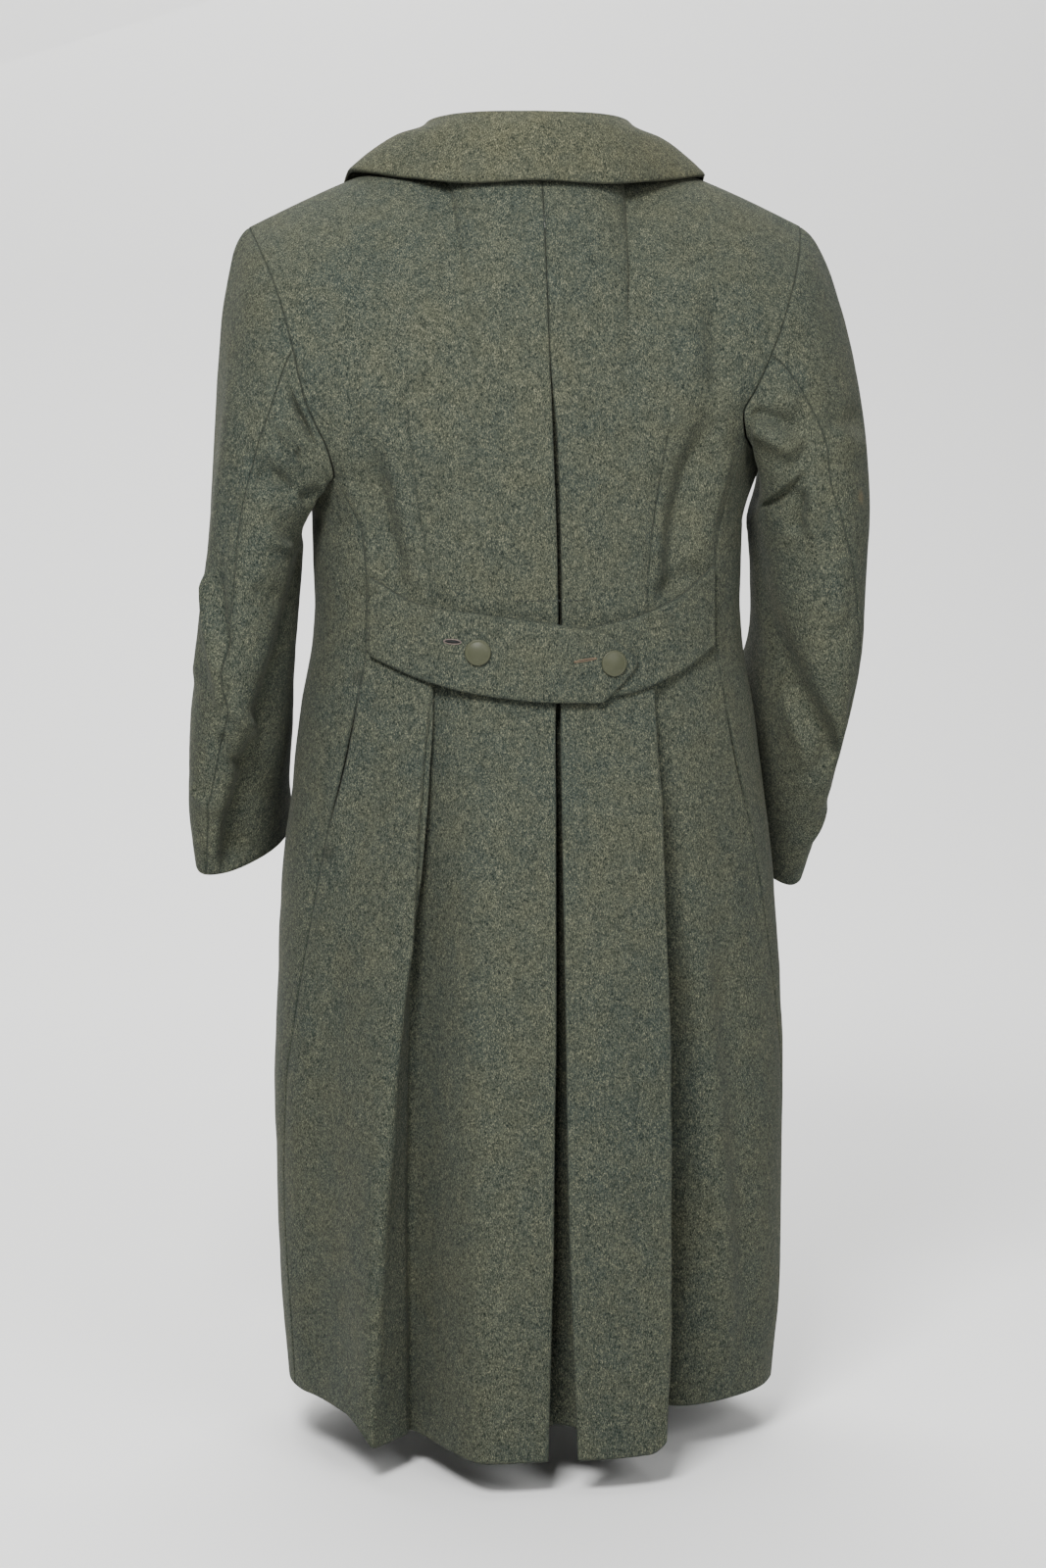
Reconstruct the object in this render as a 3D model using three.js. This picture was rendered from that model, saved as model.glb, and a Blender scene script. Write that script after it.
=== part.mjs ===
// A long military overcoat in field-grey wool, filled out as if worn, with nobody inside.
// Millimetres. +Z is up, +Y is the back of the coat, +X is the wearer's left.
// The origin is the middle of the neck opening, at the height of the back neck seam.
// Every cloth piece is a closed wall: an outer skin worked out from tables, and the same skin moved in.
import * as THREE from 'three';

// Driving sizes
const CLOTH = 2.6; // heavy fulled wool
const BELT_CLOTH = 3.4; // two thin layers sewn together
const SEAM_GAP = 0.6; // between pieces that are sewn edge to edge
const LAY_GAP = 0.8; // between a piece and what it lies on
const BUTTON_GAP = 0.3; // under a button
const ARMPIT_Z = -310; // the body is level rings below this height
const HEM_Z = -1093;
const SIDE_HEM_RISE = { left: 22, right: 13 }; // the sides of the skirt end this much higher than its middle
const SLIT_TOP_Z = -160; // the centre back seam opens into the pleat here
const BUTTON_DIAMETER = 22;
const BUTTON_THICK = 4.2;

// Level rings of the body: half width, depth behind and in front of the origin
const RINGS = [
  { z: -310, half: 189, back: 128, front: 130 },
  { z: -372, half: 187, back: 130, front: 124 },
  { z: -409, half: 190, back: 131, front: 126 },
  { z: -465, half: 200, back: 132, front: 132 },
  { z: -540, half: 210, back: 133, front: 142 },
  { z: -630, half: 219, back: 134, front: 154 },
  { z: -800, half: 227, back: 134, front: 168 },
  { z: -985, half: 226, back: 130, front: 180 },
  { z: HEM_Z, half: 218, back: 124, front: 184 },
];
const RING_POWER = 2.25; // squareness of a ring: 2 is an ellipse
// The skirt hangs a little towards the wearer's right
const SWAY = [
  { z: -500, x: 0 },
  { z: -800, x: -2 },
  { z: HEM_Z, x: -3.5 },
];

// How far the side seam lies from the middle
const SIDE_SEAM = [
  { z: -310, x: 155 },
  { z: -355, x: 151 },
  { z: -412, x: 152 },
  { z: -450, x: 158 },
  { z: -533, x: 180 },
  { z: -634, x: 195 },
  { z: -740, x: 205 },
  { z: -900, x: 208 },
  { z: HEM_Z, x: 203 },
];

// The centre back fold: where its edges lie, how wide it gapes and how far the middle of the skirt stands out
const CENTRE_FOLD = [
  { z: 0, x: 0, gape: 0.5, lift: 0 },
  { z: SLIT_TOP_Z, x: -2, gape: 0.6, lift: 0 },
  { z: -250, x: -6, gape: 4, lift: 0 },
  { z: -385, x: -9, gape: 3, lift: 0 },
  { z: -455, x: -7, gape: 4, lift: 3 },
  { z: -560, x: -4, gape: 5, lift: 22 },
  { z: -730, x: -1, gape: 8, lift: 46 },
  { z: -900, x: 2, gape: 13, lift: 64 },
  { z: HEM_Z, x: 2.5, gape: 25, lift: 80 },
];

// The pleat at each side of the skirt's middle. The ridge is the edge that shows, the valley is where the cloth
// turns in under it. On the wearer's right the middle lies over the side, on the left the side lies over the middle.
const RIGHT_PLEAT = [
  { z: -310, ridge: 90, valley: 96, ridgeLift: 0, valleyLift: 0 },
  { z: -385, ridge: 91, valley: 96, ridgeLift: 0, valleyLift: 0 },
  { z: -455, ridge: 92, valley: 90, ridgeLift: 3, valleyLift: -3 },
  { z: -560, ridge: 95, valley: 88, ridgeLift: 22, valleyLift: -5 },
  { z: -730, ridge: 98, valley: 88, ridgeLift: 44, valleyLift: -6 },
  { z: -900, ridge: 97, valley: 85, ridgeLift: 62, valleyLift: -8 },
  { z: HEM_Z, ridge: 90, valley: 78, ridgeLift: 78, valleyLift: -8 },
];
const LEFT_PLEAT = [
  { z: -310, ridge: 98, valley: 92, ridgeLift: 0, valleyLift: 0 },
  { z: -385, ridge: 98, valley: 92, ridgeLift: 0, valleyLift: 0 },
  { z: -455, ridge: 98, valley: 101, ridgeLift: 3, valleyLift: -4 },
  { z: -560, ridge: 105, valley: 112, ridgeLift: 16, valleyLift: -3 },
  { z: -640, ridge: 115, valley: 117, ridgeLift: 22, valleyLift: -2 },
  { z: -730, ridge: 130, valley: 121, ridgeLift: 30, valleyLift: 0 },
  { z: -900, ridge: 148, valley: 124, ridgeLift: 44, valleyLift: 2 },
  { z: HEM_Z, ridge: 160, valley: 124, ridgeLift: 62, valleyLift: 4 },
];

// Soft grooves in the back above the belt, from upper to lower end, on the side named (1 is the wearer's left)
const GROOVES = [
  { side: 1, topX: 150, topZ: -225, lowX: 122, lowZ: -385, width: 12, depth: 7 },
  { side: -1, topX: 156, topZ: -110, lowX: 148, lowZ: -240, width: 13, depth: 4 },
  { side: -1, topX: 150, topZ: -225, lowX: 118, lowZ: -385, width: 14, depth: 8 },
];

// Neck and shoulder seam
const NECK_BACK = 70;
const NECK_SIDE = [78, 2, 16];
const SHOULDER_ARCH = 4; // how far the shoulder seam rises over a straight line

// The armholes, by turn: 0 is the shoulder seam, 90 the back, 180 under the arm and 270 the front
const SIDE_SEAM_TURN = 150;
const LEFT_ARMHOLE = [
  { turn: 0, x: 243, y: 2, z: -54 },
  { turn: 25, x: 236, y: 40, z: -76 },
  { turn: 50, x: 224, y: 72, z: -112 },
  { turn: 75, x: 213, y: 88, z: -156 },
  { turn: 100, x: 202, y: 93, z: -205 },
  { turn: 125, x: 184, y: 90, z: -244 },
  { turn: 150, x: 177, y: 78, z: -268 },
  { turn: 166, x: 190, y: 46, z: -274 },
  { turn: 184, x: 207, y: 8, z: -268 },
  { turn: 210, x: 211, y: -34, z: -248 },
  { turn: 238, x: 205, y: -66, z: -212 },
  { turn: 265, x: 202, y: -78, z: -172 },
  { turn: 295, x: 208, y: -72, z: -128 },
  { turn: 328, x: 225, y: -42, z: -84 },
  { turn: 360, x: 243, y: 2, z: -54 },
];
const RIGHT_ARMHOLE = [
  { turn: 0, x: 242, y: 2, z: -49 },
  { turn: 25, x: 233, y: 40, z: -75 },
  { turn: 50, x: 219, y: 72, z: -112 },
  { turn: 75, x: 204, y: 88, z: -150 },
  { turn: 100, x: 186, y: 93, z: -190 },
  { turn: 125, x: 174, y: 90, z: -214 },
  { turn: 150, x: 178, y: 78, z: -232 },
  { turn: 166, x: 192, y: 46, z: -244 },
  { turn: 184, x: 210, y: 8, z: -252 },
  { turn: 210, x: 213, y: -34, z: -240 },
  { turn: 238, x: 206, y: -66, z: -208 },
  { turn: 265, x: 202, y: -78, z: -170 },
  { turn: 295, x: 208, y: -72, z: -126 },
  { turn: 328, x: 225, y: -42, z: -80 },
  { turn: 360, x: 242, y: 2, z: -49 },
];

// The top of a front runs from the side seam (0) round the armhole, along the shoulder from CORNER_SHARE, along the
// neck, and to its front edge (1)
const CORNER_SHARE = 0.56;
const FRONT_NECK = [
  { share: 0.74, x: 78, y: 2, z: 16 },
  { share: 0.8, x: 64, y: -44, z: -18 },
  { share: 0.87, x: 34, y: -78, z: -60 },
  { share: 0.93, x: -8, y: -90, z: -80 },
  { share: 1.0, x: -80, y: -86, z: -82 },
];
const NECK_BY_WIDTH = [
  { x: 0, y: -92, z: -82 },
  { x: 34, y: -78, z: -60 },
  { x: 64, y: -44, z: -18 },
  { x: 78, y: 2, z: 16 },
  { x: 130, y: 2, z: 0 },
];
const FRONT_EDGE = [
  { z: -310, x: 84 },
  { z: -400, x: 86 },
  { z: HEM_Z, x: 82 },
];
const UNDERLAP = { start: 122, full: 96, depth: 5.8 }; // how the right front passes behind the left

// The sleeves below the armpit, a row for each ring: its middle, half its width and depth, its tilt and its turn
const LEFT_SLEEVE = [
  { at: 0.4, x: 240, y: 4, z: -330, half: 41, deep: 82, tilt: 4, turn: 8 },
  { at: 0.55, x: 247, y: 2, z: -410, half: 41, deep: 80, tilt: 7, turn: 15 },
  { at: 0.68, x: 252, y: -8, z: -470, half: 40, deep: 79, tilt: 10, turn: 22 },
  { at: 0.84, x: 253.5, y: -26, z: -535, half: 33.5, deep: 75, tilt: 13, turn: 29 },
  { at: 1.0, x: 249, y: -47, z: -597, half: 27, deep: 75, tilt: 15, turn: 32 },
];
const RIGHT_SLEEVE = [
  { at: 0.4, x: 250, y: 8, z: -318, half: 51, deep: 83, tilt: 2, turn: 3 },
  { at: 0.55, x: 250.5, y: 0, z: -395, half: 43.5, deep: 82, tilt: 9, turn: 10 },
  { at: 0.68, x: 245, y: -18, z: -458, half: 37.5, deep: 81, tilt: 18, turn: 15 },
  { at: 0.84, x: 236, y: -64, z: -536, half: 31.5, deep: 76, tilt: 26, turn: 16 },
  { at: 1.0, x: 232, y: -112, z: -604, half: 26, deep: 72, tilt: 28, turn: 14 },
];
// How a sleeve leaves the armhole, by turn, and how strongly it is drawn down to the first ring
const SLEEVE_START = [
  { turn: 0, x: 90, y: 0, z: -38, draw: 300 },
  { turn: 90, x: 60, y: 4, z: -50, draw: 150 },
  { turn: 180, x: 16, y: 0, z: -30, draw: 60 },
  { turn: 270, x: 66, y: -8, z: -30, draw: 150 },
  { turn: 360, x: 90, y: 0, z: -38, draw: 300 },
];
// Which way the body's cloth runs where it meets a sleeve, by turn
const BODY_END = [
  { turn: 0, x: 1, y: 0, z: -0.35 },
  { turn: 90, x: 0.95, y: -0.3, z: -0.05 },
  { turn: 130, x: 0.9, y: -0.35, z: 0.25 },
  { turn: 180, x: 0.5, y: 0, z: 0.87 },
  { turn: 230, x: 0.7, y: 0, z: 0.7 },
  { turn: 290, x: 0.95, y: 0.2, z: 0.1 },
  { turn: 360, x: 1, y: 0, z: -0.35 },
];

// The collar, from the back to the front point: its roll and its free edge
const COLLAR_AT_SHOULDER = 0.44; // the place along the collar that meets the shoulder seam
const COLLAR = [
  { at: 0.0, rx: 0, ry: 66, rz: 41, ex: 0, ey: 94, ez: -18 },
  { at: 0.14, rx: 36, ry: 60, rz: 41, ex: 58, ey: 86, ez: -20 },
  { at: 0.28, rx: 68, ry: 40, rz: 40, ex: 112, ey: 53, ez: -14 },
  { at: 0.44, rx: 85, ry: 2, rz: 36, ex: 157, ey: 4, ez: -5 },
  { at: 0.6, rx: 82, ry: -38, rz: 16, ex: 160, ey: -52, ez: -28 },
  { at: 0.8, rx: 54, ry: -82, rz: -26, ex: 132, ey: -112, ez: -92 },
  { at: 1.0, rx: 8, ry: -108, rz: -58, ex: 74, ey: -142, ez: -150 },
];

// The half belt, a row for each place along it: its upper and lower edge
const LEFT_STRAP = [
  { x: 150, top: -352, low: -419 },
  { x: 110, top: -374, low: -437 },
  { x: 60, top: -382, low: -450 },
  { x: 0, top: -390, low: -457 },
  { x: -44, top: -397, low: -458 },
];
const STRAP_TIP = { x: -76, z: -424 };
const RIGHT_STRAP = [
  { x: -150, top: -344, low: -413 },
  { x: -110, top: -372, low: -436 },
  { x: -60, top: -389, low: -452 },
  { x: 0, top: -397, low: -455 },
  { x: 84, top: -395, low: -442 },
];
const BELT_BUTTONS = [
  { name: 'belt_button_left', x: 62, z: -414 },
  { name: 'belt_button_right', x: -53, z: -424 },
];

// Front closure: two rows of buttons
const BUTTON_ROWS = { count: 6, topZ: -160, stepZ: 74, x: 58 };

// A value between the rows of a table, as a smooth curve that doesn't overshoot
function read(table, key, place, along = 'z') {
  const dir = Math.sign(table[table.length - 1][along] - table[0][along]);
  const past = table.findIndex((row) => dir * row[along] > dir * place);
  const i = Math.max(past === -1 ? table.length - 2 : past - 1, 0);
  const slope = (k) => (table[k + 1][key] - table[k][key]) / (table[k + 1][along] - table[k][along]);
  const tangent = (k) => {
    if (k === 0 || k === table.length - 1) return slope(Math.min(k, table.length - 2));
    const before = slope(k - 1), after = slope(k);
    return before * after <= 0 ? 0 : (2 * before * after) / (before + after);
  };
  const a = table[i], b = table[i + 1];
  const h = b[along] - a[along];
  const t = THREE.MathUtils.clamp((place - a[along]) / h, 0, 1);
  const left = 1 - t;
  return (1 + 2 * t) * left * left * a[key] + t * left * left * h * tangent(i)
    + t * t * (3 - 2 * t) * b[key] - t * t * left * h * tangent(i + 1);
}

const mix = (a, b, t) => a + (b - a) * t;
const ease = (a, b, v) => THREE.MathUtils.smoothstep((v - a) / (b - a), 0, 1);
const radians = THREE.MathUtils.degToRad;
const point = (x, y, z) => new THREE.Vector3(x, y, z);
const readPoint = (table, keys, place, along) => point(...keys.map((key) => read(table, key, place, along)));

// Depth of a level ring at a distance x from the middle, behind (1) or in front (-1)
function ringDepth(x, z, way) {
  const half = read(RINGS, 'half', z);
  const depth = read(RINGS, way > 0 ? 'back' : 'front', z);
  const share = Math.min(Math.abs(x) / half, 1);
  return way * depth * (1 - share ** RING_POWER) ** (1 / RING_POWER);
}

// The turn on a level ring at which it is x from the middle
function ringTurn(x, z) {
  const share = THREE.MathUtils.clamp(x / read(RINGS, 'half', z), -1, 1);
  return Math.acos(Math.sign(share) * Math.abs(share) ** (RING_POWER / 2));
}

function ringPoint(turn, z) {
  const c = Math.cos(turn), s = Math.sin(turn);
  const depth = read(RINGS, s < 0 ? 'back' : 'front', z);
  const power = 2 / RING_POWER;
  return point(
    read(RINGS, 'half', z) * Math.sign(c) * Math.abs(c) ** power,
    -depth * Math.sign(s) * Math.abs(s) ** power,
    z,
  );
}

function grooveDepth(side, x, z) {
  let depth = 0;
  for (const g of GROOVES) {
    if (g.side !== side) continue;
    const t = (z - g.topZ) / (g.lowZ - g.topZ);
    const off = (x - mix(g.topX, g.lowX, t)) / g.width;
    depth += g.depth * Math.exp(-off * off) * ease(-0.25, 0.25, t) * (1 - ease(0.9, 1.15, t));
  }
  return depth;
}

const hemRise = (side, z) => SIDE_HEM_RISE[side > 0 ? 'left' : 'right'] * ease(-700, HEM_Z, z);
const centreEdge = (side, z) => side * read(CENTRE_FOLD, 'x', z) + read(CENTRE_FOLD, 'gape', z) / 2;

// A level row of the back from the centre fold to the side seam and one place past it, drawn for x to the side
const CENTRE_STEPS = [0, 0.1, 0.28, 0.46, 0.62, 0.76, 0.88];
const SIDE_STEPS = [0.12, 0.28, 0.48, 0.7, 0.88, 1, 1.1];
function backRow(side, z) {
  const edge = centreEdge(side, z);
  const seam = read(SIDE_SEAM, 'x', z) - SEAM_GAP / 2;
  const centreLift = read(CENTRE_FOLD, 'lift', z);
  const pleats = side > 0 ? LEFT_PLEAT : RIGHT_PLEAT;
  const [ridge, valley, ridgeLift, valleyLift] = ['ridge', 'valley', 'ridgeLift', 'valleyLift']
    .map((key) => read(pleats, key, z));
  const [inner, innerLift, outer, outerLift] = side > 0
    ? [valley, valleyLift, ridge, ridgeLift] : [ridge, ridgeLift, valley, valleyLift];
  const surface = (x, lift) => {
    const rise = hemRise(side, z) * ease(outer - 4, outer + 20, x);
    return point(x, ringDepth(x, z, 1) - grooveDepth(side, x, z) + lift, z + rise);
  };
  const row = CENTRE_STEPS.map((t) => {
    const fall = side > 0 ? ease(0.5, 1, t) : 0;
    const lift = mix(centreLift * (1 + 0.06 * Math.sin(Math.PI * t)), innerLift, side > 0 ? fall : t);
    return surface(mix(edge, inner, t), lift);
  });
  row.push(surface(inner, innerLift), surface(outer, outerLift));
  for (const t of SIDE_STEPS) {
    row.push(surface(mix(outer, seam, t), outerLift * (1 - ease(0, side > 0 ? 0.8 : 0.5, t))));
  }
  return row;
}

const armhole = (side, turn) => readPoint(side > 0 ? LEFT_ARMHOLE : RIGHT_ARMHOLE, ['x', 'y', 'z'], turn, 'turn');

// The shoulder seam from the neck (0) to the armhole (1)
function shoulderSeam(side, t) {
  return point(...NECK_SIDE).lerp(armhole(side, 0), t).add(point(0, 0, SHOULDER_ARCH * Math.sin(Math.PI * t)));
}

// The top of the back, from the middle of the neck (0) to the shoulder point (1)
const NECK_SHARE = 0.36;
function backTop(side, share) {
  if (share >= NECK_SHARE) return shoulderSeam(side, (share - NECK_SHARE) / (1 - NECK_SHARE));
  const turn = (share / NECK_SHARE) * Math.PI / 2;
  const [x, y, z] = NECK_SIDE;
  return point(x * Math.sin(turn), mix(y, NECK_BACK, Math.cos(turn)), z * Math.sin(turn) ** 2);
}

const LEVELS = [HEM_Z, -1050, -985, -900, -815, -730, -645, -575, -515, -465, -430, -392, -350, ARMPIT_Z];
const UPPER = [0.08, 0.16, 0.26, 0.36, 0.47, 0.58, 0.68, 0.78, 0.87, 0.94, 1]; // shares of the way up from the armpit
const TURN_STEP = 15; // the armhole's points are this far apart

// The back of one side, as a grid of points from the hem up to the neck and shoulder seam
function backGrid(side) {
  const grid = LEVELS.map((z) => backRow(side, z));
  const low = backRow(side, ARMPIT_Z);
  const last = low.length - 2;
  const blend = (start, end, t, power) => {
    const round = (1 - t ** power) ** (1 / power);
    return point(mix(start.x, end.x, t), mix(end.y, start.y, round), mix(start.z, end.z, t));
  };
  for (const [row, t] of UPPER.entries()) {
    const turn = SIDE_SEAM_TURN - row * TURN_STEP;
    const tip = blend(low[last], backTop(side, 1), t, 2.4);
    const pull = armhole(side, turn).sub(tip);
    grid.push(low.map((start, i) => {
      const share = Math.min((start.x - low[0].x) / (low[last].x - low[0].x), 1);
      const p = blend(start, backTop(side, share), t, mix(1.6, 2.4, share));
      p.addScaledVector(pull, share ** 3);
      p.x = Math.max(p.x, centreEdge(side, p.z));
      p.y -= grooveDepth(side, p.x, p.z) * ease(0, 0.3, 1 - t) * (1 - share ** 3);
      if (t === 1 && share >= NECK_SHARE) p.y += SEAM_GAP;
      if (i === last) p.x -= 1.1 * SEAM_GAP;
      return i > last ? pastBack(side, turn) : p;
    }));
  }
  grid.push(grid[grid.length - 1].map((p, i) => {
    const onShoulder = i <= last && p.y < NECK_SIDE[1] + 1;
    return onShoulder ? point(p.x, NECK_SIDE[1] - 40, p.z - 20) : null;
  }));
  return grid;
}

// Where the cloth goes on past the armhole or side seam, which turns a wall's edge to meet its neighbour's
function pastBack(side, turn) {
  return turn >= SIDE_SEAM_TURN ? armhole(side, turn + 14) : pastArmhole(side, turn);
}

const leaving = (turn) => readPoint(SLEEVE_START, ['x', 'y', 'z'], turn, 'turn').normalize();
const ending = (turn) => readPoint(BODY_END, ['x', 'y', 'z'], turn, 'turn').normalize();
const underArm = (turn) => turn > 149 && turn < 226; // here sleeve and body meet at a sharp angle, edge to side

function pastArmhole(side, turn) {
  return underArm(turn) ? null : armhole(side, turn).addScaledVector(leaving(turn), 12);
}

// Turns a grid drawn for the wearer's left round to the side wanted
const toSide = (side, grid) => grid.map((row) => row.map((p) => p && sway(point(side * p.x, p.y, p.z))));
const sway = (p) => p.setX(p.x + read(SWAY, 'x', p.z));

// A front of one side, as a grid from one place behind the side seam round to its front edge
const ARMHOLE_STEPS = (360 - SIDE_SEAM_TURN) / TURN_STEP;
const SHARES = [
  ...[...Array(ARMHOLE_STEPS).keys()].map((i) => (i / ARMHOLE_STEPS) * CORNER_SHARE),
  CORNER_SHARE, 0.62, 0.68, 0.74, 0.77, 0.8, 0.835, 0.87, 0.9, 0.93, 0.953, 0.976, 1,
];
const turnAt = (share) => mix(SIDE_SEAM_TURN, 360, share / CORNER_SHARE);

function frontRow(side, z) {
  const from = -ringTurn(read(SIDE_SEAM, 'x', z) + SEAM_GAP / 2, z);
  const to = ringTurn(-read(FRONT_EDGE, 'x', z), z);
  return [-0.05, ...SHARES].map((share) => {
    const p = ringPoint(mix(from, to, share), z);
    p.z += mix(hemRise(side, z), hemRise(1, z) / 2, ease(0.3, 0.8, share));
    return underlap(side, p);
  });
}

function underlap(side, p) {
  if (side < 0 && p.y < 0) p.y += UNDERLAP.depth * (1 - ease(UNDERLAP.full, UNDERLAP.start, p.x));
  return p;
}

function frontTop(side, share) {
  const neck = FRONT_NECK[0].share;
  if (share <= CORNER_SHARE) return armhole(side, turnAt(share));
  if (share <= neck) return shoulderSeam(side, 1 - (share - CORNER_SHARE) / (neck - CORNER_SHARE));
  const p = readPoint(FRONT_NECK, ['x', 'y', 'z'], share, 'share');
  return underlap(side, point(p.x, chestDepth(p.x, p.z), p.z));
}

// Depth of the chest near its middle, the same for either front
function chestDepth(x, z) {
  const away = Math.abs(x);
  const top = readPoint(NECK_BY_WIDTH, ['x', 'y', 'z'], away, 'x');
  const t = THREE.MathUtils.clamp((z - ARMPIT_Z) / (top.z - ARMPIT_Z), 0, 1);
  return mix(top.y, ringDepth(away, ARMPIT_Z, -1), 1 - t ** 2.5);
}

function frontGrid(side) {
  const grid = LEVELS.map((z) => frontRow(side, z));
  const low = frontRow(side, ARMPIT_Z);
  const corner = CORNER_SHARE, neck = FRONT_NECK[0].share;
  for (const t of [0.2, 0.4, 0.58, 0.74, 0.87, 1]) {
    grid.push(low.map((start, i) => {
      if (i === 0) return start.clone().lerp(armhole(side, SIDE_SEAM_TURN).add(point(-14, 10, 0)), t);
      const share = SHARES[i - 1];
      const end = frontTop(side, share);
      const power = mix(1, 2.1, ease(0.3, corner, share));
      const bend = ease(0.12, 0.32, share) * (1 - ease(0.6, 0.76, share));
      const out = t ** (1 + 1.2 * bend), up = 1 - (1 - t) ** (1 + 0.6 * bend);
      const round = (1 - up ** power) ** (1 / power);
      const p = point(mix(start.x, end.x, out), mix(end.y, start.y, round), mix(start.z, end.z, up));
      const middle = share > neck || t < 1 ? 1 - ease(92, 140, p.x) : 0;
      p.y = mix(p.y, underlap(side, point(p.x, chestDepth(p.x, p.z), p.z)).y, middle);
      if (t === 1 && share >= corner && share <= neck) p.y -= 1.4 * SEAM_GAP;
      if (share === 0) p.x += 1.1 * SEAM_GAP;
      return p;
    }));
  }
  grid.push(grid[grid.length - 1].map((p, i) => {
    const share = SHARES[i - 1];
    if (i === 0 || share > neck) return null;
    if (share < corner) return pastArmhole(side, turnAt(share));
    return point(p.x, NECK_SIDE[1] + 40, p.z - 20);
  }));
  return grid;
}

// A closed wall from a grid of its outer skin. Places past an edge of the piece, which only turn the skin's normals
// there, make a border of one column or row: `border` says on which sides the grid has one.
function wall(grid, thickness, { flip = false, border = {} } = {}) {
  const { left = 0, right = 0, top = 0 } = border;
  const rows = grid.length - top, cols = grid[0].length - left - right;
  const get = (r, c) => (grid[r] && grid[r][c + left]) || null;
  const inner = [];
  for (let r = 0; r < rows; r++) {
    for (let c = 0; c < cols; c++) {
      const here = get(r, c);
      const sides = [];
      for (const [dr, dc] of [[1, 1], [1, -1], [-1, -1], [-1, 1]]) {
        const up = get(r + dr, c), along = get(r, c + dc);
        if (!up || !along) continue;
        const normal = along.clone().sub(here).cross(up.clone().sub(here)).multiplyScalar(dr * dc);
        if (normal.length() > 1e-6) sides.push(normal.normalize());
      }
      const normal = sides.reduce((sum, n) => sum.add(n), point(0, 0, 0)).normalize();
      const miter = 1 / Math.max(Math.min(...sides.map((n) => n.dot(normal))), 0.6);
      inner.push(here.clone().addScaledVector(normal, (flip ? 1 : -1) * thickness * miter));
    }
  }
  const points = [...Array(rows).keys()].flatMap((r) => [...Array(cols).keys()].map((c) => get(r, c)));
  points.push(...inner);
  const at = (skin, r, c) => skin * rows * cols + r * cols + c;
  const faces = [];
  const quad = (a, b, c, d) => (flip ? faces.push(a, c, b, a, d, c) : faces.push(a, b, c, a, c, d));
  for (let r = 0; r < rows - 1; r++) {
    for (let c = 0; c < cols - 1; c++) {
      quad(at(0, r, c), at(0, r, c + 1), at(0, r + 1, c + 1), at(0, r + 1, c));
      quad(at(1, r, c), at(1, r + 1, c), at(1, r + 1, c + 1), at(1, r, c + 1));
    }
  }
  for (let c = 0; c < cols - 1; c++) {
    quad(at(1, 0, c), at(1, 0, c + 1), at(0, 0, c + 1), at(0, 0, c));
    quad(at(0, rows - 1, c), at(0, rows - 1, c + 1), at(1, rows - 1, c + 1), at(1, rows - 1, c));
  }
  for (let r = 0; r < rows - 1; r++) {
    quad(at(0, r, 0), at(0, r + 1, 0), at(1, r + 1, 0), at(1, r, 0));
    quad(at(0, r, cols - 1), at(1, r, cols - 1), at(1, r + 1, cols - 1), at(0, r + 1, cols - 1));
  }
  return solid(points, faces);
}

function solid(points, faces) {
  const geometry = new THREE.BufferGeometry();
  geometry.setAttribute('position', new THREE.Float32BufferAttribute(points.flatMap((p) => [p.x, p.y, p.z]), 3));
  geometry.setIndex(faces);
  return geometry;
}

// A point of a sleeve: `along` runs from the armhole (0) to the cuff (1), `turn` round it as at the armhole
function sleeveRing(side, along, turn) {
  const table = side > 0 ? LEFT_SLEEVE : RIGHT_SLEEVE;
  const [x, y, z, half, deep, tilt, yaw] = ['x', 'y', 'z', 'half', 'deep', 'tilt', 'turn']
    .map((key) => read(table, key, along, 'at'));
  const a = radians(yaw), c = Math.cos(radians(turn)) * half, s = Math.sin(radians(turn)) * deep;
  const back = -c * Math.sin(a) + s * Math.cos(a);
  return point(x + c * Math.cos(a) + s * Math.sin(a), y + back, z - back * Math.tan(radians(tilt)));
}

const FIRST_RING = LEFT_SLEEVE[0].at;
function sleevePoint(side, along, turn) {
  if (along >= FIRST_RING) return sleeveRing(side, along, turn);
  const t = along / FIRST_RING;
  const start = armhole(side, turn), end = sleeveRing(side, FIRST_RING, turn);
  const leave = readPoint(SLEEVE_START, ['x', 'y', 'z'], turn, 'turn');
  const draw = sleeveRing(side, FIRST_RING + 0.05, turn).sub(end).normalize()
    .multiplyScalar(read(SLEEVE_START, 'draw', turn, 'turn'));
  start.addScaledVector(leaving(turn).add(ending(turn)).normalize(), 2 * SEAM_GAP);
  return point(0, 0, 0)
    .addScaledVector(start, (1 + 2 * t) * (1 - t) ** 2).addScaledVector(leave, t * (1 - t) ** 2)
    .addScaledVector(end, t * t * (3 - 2 * t)).addScaledVector(draw, -t * t * (1 - t));
}

function beforeArmhole(side, turn) {
  return underArm(turn) ? null : armhole(side, turn).addScaledVector(ending(turn), -12);
}

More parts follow.
